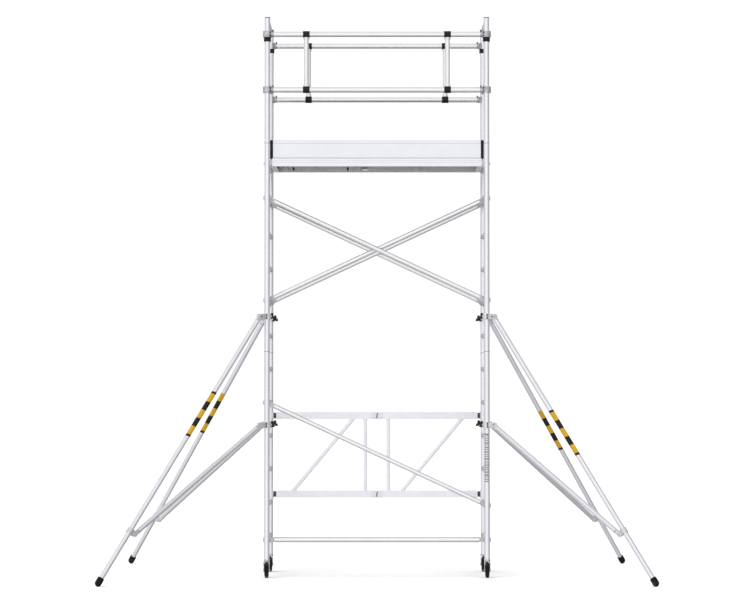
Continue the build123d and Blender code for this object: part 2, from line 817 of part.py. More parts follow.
def caster_fork(x, y):
    wheel_y = y + trail_dir * wheel_trail
    pin_y = wheel_y + trail_dir * brake_pivot[0]
    pin_z = axle_z + brake_pivot[1]
    back_y = y - trail_dir * crown_race_d / 2
    with BuildPart() as fork:
        for sx in (-1, 1):
            inner_x = x + sx * fork_gap / 2
            cheek_plane = Plane(origin=(inner_x, 0, 0), x_dir=(0, sx, 0), z_dir=(sx, 0, 0))
            with BuildSketch(cheek_plane):
                with Locations((sx * wheel_y, axle_z)):
                    Circle(axle_d + 3)
                with Locations((sx * (back_y + wheel_y) / 2, crown_high_z - 4)):
                    Rectangle(abs(wheel_y - back_y), 8)
                with Locations((sx * pin_y, pin_z)):
                    Circle(brake_pin_d)
                make_hull()
            extrude(amount=fork_plate)
        crown_far = wheel_y - trail_dir * 6
        with BuildSketch(Plane((x, (back_y + crown_far) / 2, crown_low_z))):
            Rectangle(fork_gap + 2 * fork_plate, abs(crown_far - back_y))
        extrude(amount=crown_thickness)
        with BuildSketch(Plane((x, y, crown_high_z))):
            Circle(crown_race_d / 2)
        extrude(amount=crown_race)
        with BuildSketch(Plane((x, y, crown_low_z - 1))):
            Circle(kingpin_d / 2 + run_gap)
        extrude(amount=stem_flange + crown_thickness + 4, mode=Mode.SUBTRACT)
        outer = fork_gap + 2 * fork_plate + 4
        with BuildSketch(Plane(origin=(x - outer / 2, wheel_y, axle_z), z_dir=(1, 0, 0))):
            Circle(axle_d / 2 + run_gap)
        extrude(amount=outer, mode=Mode.SUBTRACT)
        with BuildSketch(Plane(origin=(x - outer / 2, pin_y, pin_z), z_dir=(1, 0, 0))):
            Circle(brake_pin_d / 2 + run_gap)
        extrude(amount=outer, mode=Mode.SUBTRACT)
    return fork.part


def cross_pin(x, y, z, grip, pin_d, head_d, head):
    with BuildPart() as pin:
        with BuildSketch(Plane(origin=(x - grip / 2, y, z), z_dir=(1, 0, 0))):
            Circle(pin_d / 2)
        extrude(amount=grip)
        for sx in (-1, 1):
            with BuildSketch(Plane(origin=(x + sx * grip / 2, y, z), z_dir=(sx, 0, 0))):
                RegularPolygon(head_d / 2, 6)
            extrude(amount=head)
    return pin.part


def caster_tyre(x, y):
    wheel_y = y + trail_dir * wheel_trail
    outer_r = wheel_d / 2
    inner_r = outer_r - tyre_thickness
    half = wheel_width / 2
    with BuildPart() as tyre:
        with BuildSketch(Plane(origin=(x, wheel_y, axle_z), x_dir=(1, 0, 0), z_dir=(0, -1, 0))):
            with BuildLine():
                Polyline(
                    (-half, inner_r),
                    (half, inner_r),
                    (half, outer_r - wheel_edge),
                    (half - wheel_edge, outer_r),
                    (-half + wheel_edge, outer_r),
                    (-half, outer_r - wheel_edge),
                    close=True,
                )
            make_face()
        revolve(axis=Axis((x, wheel_y, axle_z), (1, 0, 0)))
    return tyre.part


def caster_hub(x, y):
    wheel_y = y + trail_dir * wheel_trail
    rim_r = wheel_d / 2 - tyre_thickness
    half = wheel_width / 2 - 1
    centre_half = fork_gap / 2 - 3 * side_gap
    bore_r = axle_d / 2 + run_gap
    with BuildPart() as hub:
        with BuildSketch(Plane(origin=(x, wheel_y, axle_z), x_dir=(1, 0, 0), z_dir=(0, -1, 0))):
            with BuildLine():
                Polyline(
                    (-centre_half, bore_r),
                    (centre_half, bore_r),
                    (centre_half, wheel_hub_d / 2),
                    (wheel_web / 2, wheel_hub_d / 2 + 2),
                    (wheel_web / 2, rim_r - 7),
                    (half, rim_r - 4),
                    (half, rim_r),
                    (-half, rim_r),
                    (-half, rim_r - 4),
                    (-wheel_web / 2, rim_r - 7),
                    (-wheel_web / 2, wheel_hub_d / 2 + 2),
                    (-centre_half, wheel_hub_d / 2),
                    close=True,
                )
            make_face()
        revolve(axis=Axis((x, wheel_y, axle_z), (1, 0, 0)))
    return hub.part


def caster_brake(x, y):
    # Foot pedal over the tyre, with a shoe on its underside.
    pin_y = y + trail_dir * (wheel_trail + brake_pivot[0])
    pin_z = axle_z + brake_pivot[1]
    shoe_r = wheel_d / 2 + brake_shoe_gap
    side = Plane(origin=(x, pin_y, pin_z), x_dir=(0, trail_dir, 0), z_dir=(trail_dir, 0, 0))
    with BuildPart() as pedal:
        with BuildSketch(side):
            Circle(brake_thickness)
            with Locations((0, 0)):
                Rectangle(brake_length, brake_thickness, align=(Align.MIN, Align.CENTER), rotation=-24)
            with Locations((-brake_pivot[0], -brake_pivot[1])):
                Circle(shoe_r, mode=Mode.SUBTRACT)
            Circle(brake_pin_d / 2 + run_gap, mode=Mode.SUBTRACT)
        extrude(amount=brake_width / 2, both=True)
    return pedal.part


corners = {
    "front_left": (-1, -1),
    "front_right": (1, -1),
    "back_left": (-1, 1),
    "back_right": (1, 1),
}
save_group(
    [caster_stem(sx * half_bay, sy * half_width) for sx, sy in corners.values()],
    "caster_stems",
)
fork_grip = fork_gap + 2 * fork_plate
for corner, (sx, sy) in corners.items():
    cx = sx * half_bay
    cy = sy * half_width
    wheel_y = cy + trail_dir * wheel_trail
    pin_y = wheel_y + trail_dir * brake_pivot[0]
    pin_z = axle_z + brake_pivot[1]
    axle = cross_pin(cx, wheel_y, axle_z, fork_grip, axle_d, axle_head_d, axle_head)
    pivot = cross_pin(cx, pin_y, pin_z, fork_grip, brake_pin_d, 1.6 * brake_pin_d, 3.0)
    save_group([caster_fork(cx, cy), axle, pivot], f"caster_{corner}_fork")
    save_group([caster_tyre(cx, cy), caster_hub(cx, cy)], f"caster_{corner}_wheel")
    save(caster_brake(cx, cy), f"caster_{corner}_brake")


# ---------------------------------------------------------------- outriggers
leg_run = foot_r - outrigger_pivot_r
leg_drop = outrigger_top_z - foot_d / 2
leg_length = hypot(leg_run, leg_drop)
leg_dir = (leg_run / leg_length, -leg_drop / leg_length)
leg_in = (leg_dir[1], -leg_dir[0])
bracket_rz = (
    outrigger_pivot_r + bracket_along * leg_dir[0] + bracket_offset * leg_in[0],
    outrigger_top_z + bracket_along * leg_dir[1] + bracket_offset * leg_in[1],
)
strut_run = bracket_rz[0] - outrigger_pivot_r
strut_drop = outrigger_low_z - bracket_rz[1]
strut_length = hypot(strut_run, strut_drop)
strut_dir = (strut_run / strut_length, -strut_drop / strut_length)
coupler_bore_r = post_r + coupler_gap
fold_angle = degrees(atan2(strut_dir[1], strut_dir[0]) - atan2(leg_dir[1], leg_dir[0]))
print("strut to leg angle", round(fold_angle, 3), "bracket pivot", bracket_rz)


def radial_plane(x, y, angle):
    # Local x runs outward from the upright, local y runs up.
    a = radians(angle)
    return Plane(origin=(x, y, 0), x_dir=(cos(a), sin(a), 0), z_dir=(sin(a), -cos(a), 0))


def radial_dir(angle, vector):
    a = radians(angle)
    return (cos(a) * vector[0], sin(a) * vector[0], vector[1])


def radial_point(x, y, angle, r, z):
    a = radians(angle)
    return (x + cos(a) * r, y + sin(a) * r, z)


def coupler(x, y, angle, z, open_slot):
    # Clamp round the upright with two cheeks outward and a stud inward.
    side = radial_plane(x, y, angle)
    inner = tongue / 2 + side_gap
    ring_r = coupler_d / 2
    with BuildPart() as clamp:
        with BuildSketch(Plane((x, y, z - coupler_height / 2))):
            Circle(ring_r)
        extrude(amount=coupler_height)
        for s in (-1, 1):
            near = side.offset(s * inner) if s > 0 else side.offset(-inner - cheek)
            with BuildSketch(near):
                with Locations((outrigger_pivot_r, z)):
                    Circle(tongue_radius + 4)
                with Locations((coupler_bore_r + 2, z)):
                    Rectangle(8, coupler_height - 4)
                make_hull()
            extrude(amount=cheek)
        with BuildSketch(Plane(origin=radial_point(x, y, angle, -ring_r + 6, z),
                               z_dir=radial_dir(angle, (-1, 0)))):
            Circle(boss_d / 2)
        extrude(amount=boss_end_r - ring_r + 6)
        with BuildSketch(Plane(origin=radial_point(x, y, angle, -boss_end_r, z),
                               z_dir=radial_dir(angle, (-1, 0)))):
            Circle(stud_d / 2)
        extrude(amount=stud_end_r - boss_end_r)
        with BuildSketch(Plane((x, y, z - coupler_height))):
            Circle(coupler_bore_r)
        extrude(amount=2 * coupler_height, mode=Mode.SUBTRACT)
        with BuildSketch(side):
            with Locations((outrigger_pivot_r, z)):
                Circle(leg_pin_d / 2 + (slot_play if open_slot else run_gap))
        extrude(amount=tongue + 2 * cheek, both=True, mode=Mode.SUBTRACT)
        if open_slot:
            mouth = leg_pin_d / 2 + slot_play
            rise = slot_rise_angle
            mouth_plane = Plane(
                origin=radial_point(x, y, angle, outrigger_pivot_r, z),
                x_dir=radial_dir(angle, (cos(radians(rise)), sin(radians(rise)))),
                z_dir=side.z_dir,
            )
            with BuildSketch(mouth_plane):
                with BuildLine():
                    Polyline(
                        (0, -mouth),
                        (3 * tongue_radius, -mouth - 5),
                        (3 * tongue_radius, mouth + 5),
                        (0, mouth),
                        close=True,
                    )
                make_face()
            extrude(amount=tongue + 2 * cheek, both=True, mode=Mode.SUBTRACT)
    return clamp.part


def pivot_bolt(x, y, angle, r, z, grip, pin_d, head_d, head):
    side = radial_plane(x, y, angle)
    with BuildPart() as bolt:
        with BuildSketch(side):
            with Locations((r, z)):
                Circle(pin_d / 2)
        extrude(amount=grip / 2, both=True)
        for s in (-1, 1):
            with BuildSketch(side.offset(grip / 2 if s > 0 else -grip / 2 - head)):
                with Locations((r, z)):
                    RegularPolygon(head_d / 2, 6)
            extrude(amount=head)
    return bolt.part


def end_tongue(x, y, angle, pivot_rz, direction, fused_pin):
    # Flat eye on the pivot and a neck that fills the width of the tube.
    side = radial_plane(x, y, angle)
    place = Plane(
        origin=radial_point(x, y, angle, pivot_rz[0], pivot_rz[1]),
        x_dir=radial_dir(angle, direction),
        z_dir=side.z_dir,
    )
    with BuildPart() as eye:
        with BuildSketch(place):
            Circle(tongue_radius)
            Rectangle(tongue_reach, 2 * tongue_radius, align=(Align.MIN, Align.CENTER))
            if not fused_pin:
                Circle(leg_pin_d / 2 + run_gap, mode=Mode.SUBTRACT)
        extrude(amount=tongue / 2, both=True)
        if fused_pin:
            grip = tongue + 2 * side_gap + 2 * cheek + 2 * side_gap
            with BuildSketch(place):
                Circle(leg_pin_d / 2)
            extrude(amount=grip / 2, both=True)
            for s in (-1, 1):
                with BuildSketch(place.offset(grip / 2 if s > 0 else -grip / 2 - leg_pin_head)):
                    RegularPolygon(leg_pin_head_d / 2, 6)
                extrude(amount=leg_pin_head)
    return eye.part


def leg_bracket(x, y, angle):
    # Strap round the leg with two cheeks that carry the strut.
    side = radial_plane(x, y, angle)
    centre = (
        outrigger_pivot_r + bracket_along * leg_dir[0],
        outrigger_top_z + bracket_along * leg_dir[1],
    )
    place = Plane(
        origin=radial_point(x, y, angle, centre[0], centre[1]),
        x_dir=radial_dir(angle, leg_dir),
        z_dir=side.z_dir,
    )
    inner = tongue / 2 + side_gap
    strap_r = leg_d / 2 + bracket_wall
    low = -1 if place.y_dir.dot(Vector(*radial_dir(angle, leg_in))) < 0 else 1
    with BuildPart() as strap:
        with BuildSketch(Plane(origin=place.origin - place.x_dir * bracket_length / 2,
                               z_dir=place.x_dir)):
            Circle(strap_r)
        extrude(amount=bracket_length)
        for s in (-1, 1):
            start = inner if s > 0 else -inner - bracket_cheek
            with BuildSketch(place.offset(start)):
                with Locations((0, low * bracket_offset)):
                    Circle(tongue_radius)
                with Locations((0, low * (leg_d / 2 - 4))):
                    Rectangle(bracket_length, 6)
                make_hull()
            extrude(amount=bracket_cheek)
        with BuildSketch(Plane(origin=place.origin - place.x_dir * bracket_length,
                               z_dir=place.x_dir)):
            Circle(leg_d / 2)
        extrude(amount=2 * bracket_length, mode=Mode.SUBTRACT)
        with BuildSketch(place):
            with Locations((0, low * bracket_offset)):
                Circle(leg_pin_d / 2 + run_gap)
        extrude(amount=tongue + 2 * bracket_cheek, both=True, mode=Mode.SUBTRACT)
    return strap.part


def rubber_foot(x, y, angle):
    end = radial_point(x, y, angle, foot_r, foot_d / 2)
    axis_dir = Vector(*radial_dir(angle, leg_dir))
    across = Vector(*radial_dir(angle, leg_in))
    place = Plane(origin=end, x_dir=across, z_dir=across.cross(axis_dir))
    radius = foot_d / 2
    bore = leg_d / 2 + fit_gap
    with BuildPart() as foot:
        with BuildSketch(place):
            with BuildLine():
                Polyline(
                    (0, 0.0 + radius),
                    (0, -2.0),
                    (bore, -2.0),
                    (bore, -foot_sleeve),
                    (radius - 2, -foot_sleeve),
                    (radius, -foot_sleeve + 2),
                    (radius, 0),
                )
                CenterArc((0, 0), radius, 0, 90)
            make_face()
        revolve(axis=Axis(end, axis_dir))
    return foot.part


def star_knob(x, y, angle, z):
    start = radial_point(x, y, angle, -boss_end_r - side_gap, z)
    with BuildPart() as knob:
        with BuildSketch(Plane(origin=start, x_dir=(0, 0, 1), z_dir=radial_dir(angle, (-1, 0)))):
            Circle(knob_core_d / 2)
            with PolarLocations(knob_lobe_r, 3):
                Circle(knob_lobe_d / 2)
        extrude(amount=knob_thickness)
        flat = knob.faces().filter_by(GeomType.PLANE)
        chamfer(flat.edges(), 2.0)
        with BuildSketch(Plane(origin=start, z_dir=radial_dir(angle, (-1, 0)))):
            Circle(stud_d / 2 + run_gap)
        extrude(amount=knob_thickness, mode=Mode.SUBTRACT)
    return knob.part


plan_angles = {
    "front_left": 180.0 + outrigger_angle,
    "front_right": -outrigger_angle,
    "back_left": 180.0 - outrigger_angle,
    "back_right": outrigger_angle,
}
for corner, (sx, sy) in corners.items():
    ux = sx * half_bay
    uy = sy * half_width
    turn = plan_angles[corner]
    name = f"outrigger_{corner}"

    couplers = [
        coupler(ux, uy, turn, outrigger_top_z, False),
        coupler(ux, uy, turn, outrigger_low_z, True),
        pivot_bolt(
            ux, uy, turn, outrigger_pivot_r, outrigger_top_z,
            tongue + 2 * side_gap + 2 * cheek, leg_pin_d, leg_pin_head_d, leg_pin_head,
        ),
    ]
    save_group(couplers, f"{name}_couplers")

    top_rz = (outrigger_pivot_r, outrigger_top_z)
    tube_start = radial_point(
        ux, uy, turn,
        top_rz[0] + tongue_reach * leg_dir[0],
        top_rz[1] + tongue_reach * leg_dir[1],
    )
    leg_tube = tube(tube_start, radial_dir(turn, leg_dir), leg_length - tongue_reach - 2, leg_d, leg_wall)
    leg_bolt = pivot_bolt(
        ux, uy, turn, bracket_rz[0], bracket_rz[1],
        tongue + 2 * side_gap + 2 * bracket_cheek, leg_pin_d, leg_pin_head_d, leg_pin_head,
    )
    leg = [end_tongue(ux, uy, turn, top_rz, leg_dir, False), leg_tube, leg_bracket(ux, uy, turn), leg_bolt]
    save_group(leg, f"{name}_leg")
    save(rubber_foot(ux, uy, turn), f"{name}_foot")

    low_rz = (outrigger_pivot_r, outrigger_low_z)
    strut_start = radial_point(
        ux, uy, turn,
        low_rz[0] + tongue_reach * strut_dir[0],
        low_rz[1] + tongue_reach * strut_dir[1],
    )
    back_dir = (-strut_dir[0], -strut_dir[1])
    strut = [
        end_tongue(ux, uy, turn, low_rz, strut_dir, True),
        tube(strut_start, radial_dir(turn, strut_dir), strut_length - 2 * tongue_reach, leg_d, leg_wall),
        end_tongue(ux, uy, turn, bracket_rz, back_dir, False),
    ]
    save_group(strut, f"{name}_strut")
    save(star_knob(ux, uy, turn, outrigger_top_z), f"{name}_knob_upper")
    save(star_knob(ux, uy, turn, outrigger_low_z), f"{name}_knob_lower")
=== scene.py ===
import json
from math import cos, pi, radians, sin, sqrt

import bmesh
import bpy
from mathutils import Matrix, Vector


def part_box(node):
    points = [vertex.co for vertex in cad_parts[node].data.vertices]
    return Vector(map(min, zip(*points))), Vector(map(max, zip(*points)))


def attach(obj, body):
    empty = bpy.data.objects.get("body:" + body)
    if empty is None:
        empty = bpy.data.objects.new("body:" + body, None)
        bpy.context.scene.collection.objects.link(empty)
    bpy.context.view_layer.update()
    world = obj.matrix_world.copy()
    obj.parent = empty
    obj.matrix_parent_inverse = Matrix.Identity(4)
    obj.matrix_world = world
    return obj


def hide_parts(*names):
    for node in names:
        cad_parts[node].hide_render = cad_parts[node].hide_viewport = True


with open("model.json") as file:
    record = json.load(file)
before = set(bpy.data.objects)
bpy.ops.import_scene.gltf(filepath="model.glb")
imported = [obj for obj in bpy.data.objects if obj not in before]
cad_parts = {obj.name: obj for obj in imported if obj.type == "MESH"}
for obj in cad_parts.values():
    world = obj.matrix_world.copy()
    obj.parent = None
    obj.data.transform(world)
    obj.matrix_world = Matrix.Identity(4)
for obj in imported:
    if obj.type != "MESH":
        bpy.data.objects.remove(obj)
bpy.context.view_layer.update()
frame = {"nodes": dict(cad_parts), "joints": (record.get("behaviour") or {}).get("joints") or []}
nodes = frame["nodes"]
joints = {joint["name"]: joint for joint in frame["joints"]}
scene = bpy.context.scene

CORNERS = ("front_left", "front_right", "back_left", "back_right")
UPRIGHT_SIDES = [(sx, sy) for sx in (-1, 1) for sy in (-1, 1)]
MM = 0.001
UP = Vector((0.0, 0.0, 1.0))

# ------------------------------------------------------------------ sizes in metres, and counts
UPRIGHT_X = 0.900
UPRIGHT_Y = 0.375
UPRIGHT_R = 0.023
SPLICES_Z = (1.845, 3.555)
RUNG_R = 0.0175
RUNG_FIRST_Z = 0.306
RUNG_PITCH = 0.280
RUNG_COUNT = 12
RUNG_FLUTES = 26.0
GUARD_RUNGS_Z = (4.060, 4.567)
GUARDRAILS_Z = (3.994, 4.452)
LEVER_ABOVE_RAIL = 0.0236
LEVER_END_X = 0.8625
TEE_HALF_HEIGHT = 0.0268
TEES_END_X = 0.75
TRUSS_BEAMS_Z = (0.6515, 1.314)
TRUSS_STRAP_R = 0.0304
TRUSS_ENDS_X = 0.5
TRUSS_SLOT_HALF = 0.0029
TRUSS_SLOT_LEAN = 0.17
DECK_TOP_Z = 3.435
DECK_GROOVE_Z = DECK_TOP_Z - 0.036
DECK_LIP_Z = DECK_TOP_Z - 0.020
DECK_HOOKS_X = 0.8625
DECK_INNER_Y = 0.2815
TOE_TOP_Z = 3.587
LEG_R = 0.020
CASTING_STANDS_OUT = 0.0006
CHEEKS_AHEAD = 0.050
CHEEKS_HALF = 0.0209
FOOT_R = 1.632
FOOT_Z = 0.027


# ------------------------------------------------------------------ node helpers
class Nodes:
    """Adds nodes to one tree; all but add and split give back one output socket."""

    def __init__(self, tree):
        self.tree = tree

    def add(self, kind, inputs=None, **settings):
        """inputs holds sockets to link and values to set, by name or number."""
        made = self.tree.nodes.new(kind)
        for name, value in settings.items():
            setattr(made, name, value)
        for name, value in (inputs or {}).items():
            if isinstance(value, bpy.types.NodeSocket):
                self.tree.links.new(value, made.inputs[name])
            else:
                made.inputs[name].default_value = value
        return made

    def calc(self, operation, a, b=0.0):
        return self.add("ShaderNodeMath", {0: a, 1: b}, operation=operation).outputs[0]

    def plus(self, a, b):
        return self.calc("ADD", a, b)

    def minus(self, a, b):
        return self.calc("SUBTRACT", a, b)

    def times(self, a, b):
        return self.calc("MULTIPLY", a, b)

    def over(self, a, b):
        return self.calc("GREATER_THAN", a, b)

    def outside(self, value, limit):
        """1 where the absolute value is over the limit."""
        return self.over(self.calc("ABSOLUTE", value), limit)

    def inside(self, value, limit):
        """1 where the absolute value is under the limit."""
        return self.calc("LESS_THAN", self.calc("ABSOLUTE", value), limit)

    def vector(self, operation, a, b=(0.0, 0.0, 0.0)):
        made = self.add("ShaderNodeVectorMath", {0: a, 1: b}, operation=operation)
        return made.outputs["Value" if operation in ("DOT_PRODUCT", "LENGTH") else "Vector"]

    def scaled(self, vector, factor):
        made = self.add("ShaderNodeVectorMath", {0: vector, "Scale": factor}, operation="SCALE")
        return made.outputs["Vector"]

    def combine(self, x, y, z=0.0):
        return self.add("ShaderNodeCombineXYZ", {0: x, 1: y, 2: z}).outputs[0]

    def split(self, vector):
        """The x, y and z sockets of a vector."""
        return self.add("ShaderNodeSeparateXYZ", {0: vector}).outputs

    def noise_at(self, vector, scale, detail=3.0, rough=0.5, distortion=0.0):
        inputs = {"Vector": vector, "Scale": scale, "Detail": detail, "Roughness": rough}
        return self.add("ShaderNodeTexNoise", {**inputs, "Distortion": distortion}).outputs[0]

    def fit(self, value, low, high, to_low=0.0, to_high=1.0):
        """A smooth step from low to high, or a straight ramp between two other values."""
        smooth = (to_low, to_high) == (0.0, 1.0)
        made = self.add(
            "ShaderNodeMapRange", {0: value, 1: low, 2: high, 3: to_low, 4: to_high},
            interpolation_type="SMOOTHSTEP" if smooth else "LINEAR",
        )
        return made.outputs[0]

    def blend(self, factor, a, b):
        """Mixes two colours, each a socket or three numbers."""
        a, b = (c if isinstance(c, bpy.types.NodeSocket) else (*c, 1.0) for c in (a, b))
        return self.add("ShaderNodeMix", {0: factor, 6: a, 7: b}, data_type="RGBA").outputs[2]

    def mix(self, factor, a, b):
        """Mixes two numbers."""
        return self.add("ShaderNodeMix", {0: factor, 2: a, 3: b}, data_type="FLOAT").outputs[0]

    def relief(self, height, strength, distance, under=None):
        """Bump, on top of an earlier one if that is given."""
        inputs = {"Height": height, "Strength": strength, "Distance": distance}
        if under is not None:
            inputs["Normal"] = under
        return self.add("ShaderNodeBump", inputs).outputs[0]


class Surface(Nodes):
    """A material with its object-space position and normal at hand."""

    def __init__(self, name):
        self.material = bpy.data.materials.new(name)
        self.material.use_nodes = True
        super().__init__(self.material.node_tree)
        self.shader = self.tree.nodes["Principled BSDF"]
        coords = self.add("ShaderNodeTexCoord").outputs
        self.place = coords["Object"]
        self.normal = coords["Normal"]
        self.x, self.y, self.z = self.split(self.place)

    def noise(self, scale, detail=3.0, rough=0.5, distortion=0.0):
        return self.noise_at(self.place, scale, detail, rough, distortion)

    def set(self, **sockets):
        """Sets or links the shader's own sockets and gives back the material."""
        for name, value in sockets.items():
            target = self.shader.inputs[name.replace("_", " ")]
            if isinstance(value, bpy.types.NodeSocket):
                self.tree.links.new(value, target)
            else:
                target.default_value = value
        return self.material


def grade(colour, factor):
    """A lighter or darker shade of a colour."""
    return tuple(min(1.0, c * factor) for c in colour)


# ------------------------------------------------------------------ masks, 1 on the named part
def release_levers(s):
    """The levers stand over the necks of the guardrail claws."""
    upper = s.over(s.z, sum(GUARDRAILS_Z) / 2)
    above = s.over(s.minus(s.z, s.mix(upper, *GUARDRAILS_Z)), LEVER_ABOVE_RAIL)
    return s.times(above, s.inside(s.x, LEVER_END_X))


def tee_sockets(s):
    """The sockets of the guardrail tees, above and below each rail."""
    upper = s.over(s.z, sum(GUARDRAILS_Z) / 2)
    away = s.outside(s.minus(s.z, s.mix(upper, *GUARDRAILS_Z)), TEE_HALF_HEIGHT)
    return s.times(away, s.inside(s.x, TEES_END_X))


def deck_hooks(s):
    """The steel hooks at both ends of the deck frame."""
    return s.outside(s.x, DECK_HOOKS_X)


def beyond_tube(point, direction):
    """The castings that stand out round a leg or strut."""
    def mask(s):
        offset = s.vector("SUBTRACT", s.place, tuple(point))
        off_axis = s.vector("LENGTH", s.vector("CROSS_PRODUCT", offset, tuple(direction)))
        return s.over(off_axis, LEG_R + CASTING_STANDS_OUT)
    return mask


def bolt_ends(clamp, out):
    """The pivot bolt's ends beside the cheeks of a coupler."""
    across = out.cross(UP)

    def mask(s):
        offset = s.vector("SUBTRACT", s.place, tuple(clamp))
        ahead = s.over(s.vector("DOT_PRODUCT", offset, tuple(out)), CHEEKS_AHEAD)
        beside = s.outside(s.vector("DOT_PRODUCT", offset, tuple(across)), CHEEKS_HALF)
        return s.times(beside, ahead)
    return mask


# ------------------------------------------------------------------ metals
# Dark mix for the rungs: painted shade for their shaded undersides, and dirt in the flutes.
FLUTE_SHADE_AND_DIRT = (0.05, 0.05, 0.052)
# Mottled painted shade for the deck frame's inner faces beneath the deck.
UNDER_DECK_SHADE = ((0.62, 0.62, 0.63), (0.76, 0.76, 0.775))


def groove_shade(s, base, colour, grooves):
    """Painted shade along an extrusion's long grooves and seams; each is (height, half width, share)."""
    for level, half, share in grooves:
        mask = s.times(s.inside(s.minus(s.z, level), half), share)
        base = s.blend(mask, base, colour)
    return base


def rung_flutes(s):
    """The waves round the rungs, and a mask of the rungs between their uprights."""
    steps = s.calc("DIVIDE", s.minus(s.z, RUNG_FIRST_Z), RUNG_PITCH)
    height = s.times(s.minus(steps, s.calc("ROUND", steps)), RUNG_PITCH)
    side = s.minus(s.calc("ABSOLUTE", s.x), UPRIGHT_X)
    wave = s.calc("SINE", s.times(s.calc("ARCTAN2", height, side), RUNG_FLUTES))
    return wave, s.inside(s.y, UPRIGHT_Y - UPRIGHT_R)


def aluminium(name, colour, rough, metal=1.0, lines=False, rungs=False, grooves=(),
              shade_within=None, other=None):
    """Drawn tube or extrusion: die lines along the piece, dull patches and nicks.
    other is (mask, colour, roughness) for a cast or plated part of the same node."""
    s = Surface(name)
    around = s.vector("ADD", s.scaled(s.normal, 46.0), s.scaled(s.place, 2.2))
    die = s.noise_at(around, 1.0, 4.0, 0.6)
    if lines:
        level = s.combine(s.times(s.x, 3.0), s.times(s.y, 3.0), s.times(s.z, 620.0))
        die = s.mix(0.6, die, s.noise_at(level, 1.0, 3.0, 0.6))
    patch = s.noise(7.0, 5.0, 0.62)
    nick = s.fit(s.noise(230.0, 2.0, 0.5, 0.4), 0.70, 0.76)
    tone = s.plus(s.times(die, 0.6), s.times(patch, 0.4))
    base = s.blend(s.fit(tone, 0.30, 0.70), grade(colour, 0.93), grade(colour, 1.05))
    base = s.blend(s.times(nick, 0.35), base, grade(colour, 0.62))
    matt = s.plus(s.times(die, 0.16), s.times(patch, 0.20))
    matt = s.plus(matt, rough - 0.18)
    normal = s.relief(s.minus(die, s.times(nick, 0.5)), 0.10, 0.0004)
    if rungs:
        wave, on_rungs = rung_flutes(s)
        normal = s.relief(s.times(wave, on_rungs), 0.55, 0.0007, normal)
        # Painted shade and dirt: each rung is darkened all round, most in one half of every flute.
        flutes_shaded_and_dirty = s.blend(s.fit(wave, -0.9, 0.9, 0.50, 0.74), FLUTE_SHADE_AND_DIRT, colour)
        base = s.blend(on_rungs, base, flutes_shaded_and_dirty)
    # Painted shade along grooves and seams, at a third of the colour.
    base = groove_shade(s, base, grade(colour, 0.30), grooves)
    # Painted shade, mottled, on the inner faces between the deck beams, under the deck.
    if shade_within is not None:
        base = s.blend(s.inside(s.y, shade_within), base, s.blend(patch, *UNDER_DECK_SHADE))
    if other is not None:
        mask_of, second, second_rough = other
        mask = mask_of(s)
        grain = s.noise(420.0, 4.0, 0.6)
        base = s.blend(mask, base, s.blend(grain, grade(second, 0.82), grade(second, 1.1)))
        matt = s.mix(mask, matt, s.plus(s.times(grain, 0.2), second_rough - 0.1))
        normal = s.relief(s.times(grain, mask), 0.3, 0.0005, normal)
    return s.set(Base_Color=base, Metallic=metal, Roughness=matt, Normal=normal)


def cast_metal(name, colour, rough, metal=1.0, mottle=0.80, other=None):
    """Sand-blasted casting with a fine grain; other is (mask, colour) for a part of it."""
    s = Surface(name)
    grain = s.noise(520.0, 4.0, 0.6)
    cloud = s.noise(28.0, 4.0, 0.6)
    tone = s.plus(s.times(grain, 0.5), s.times(cloud, 0.5))
    base = s.blend(s.fit(tone, 0.32, 0.68), grade(colour, mottle), grade(colour, 1.14))
    if other is not None:
        mask_of, second = other
        base = s.blend(mask_of(s), base, second)
    matt = s.plus(s.times(cloud, 0.25), rough - 0.12)
    return s.set(Base_Color=base, Metallic=metal, Roughness=matt, Normal=s.relief(tone, 0.32, 0.0006))


def plated(name, colour, rough):
    """Zinc-plated steel: spangle, faint passivation tint and rubbed patches."""
    s = Surface(name)
    cells = s.add("ShaderNodeTexVoronoi", {"Vector": s.place, "Scale": 260.0})
    spangle = s.add("ShaderNodeSeparateColor", {0: cells.outputs["Color"]}).outputs[0]
    cloud = s.noise(40.0, 4.0, 0.6)
    tone = s.plus(s.times(spangle, 0.35), s.times(cloud, 0.65))
    tint = (colour[0] * 1.04, colour[1] * 1.05, colour[2] * 1.07)
    base = s.blend(s.fit(tone, 0.25, 0.75), grade(colour, 0.84), tint)
    matt = s.plus(s.times(tone, 0.24), rough - 0.12)
    return s.set(Base_Color=base, Metallic=1.0, Roughness=matt, Normal=s.relief(cloud, 0.2, 0.0005))


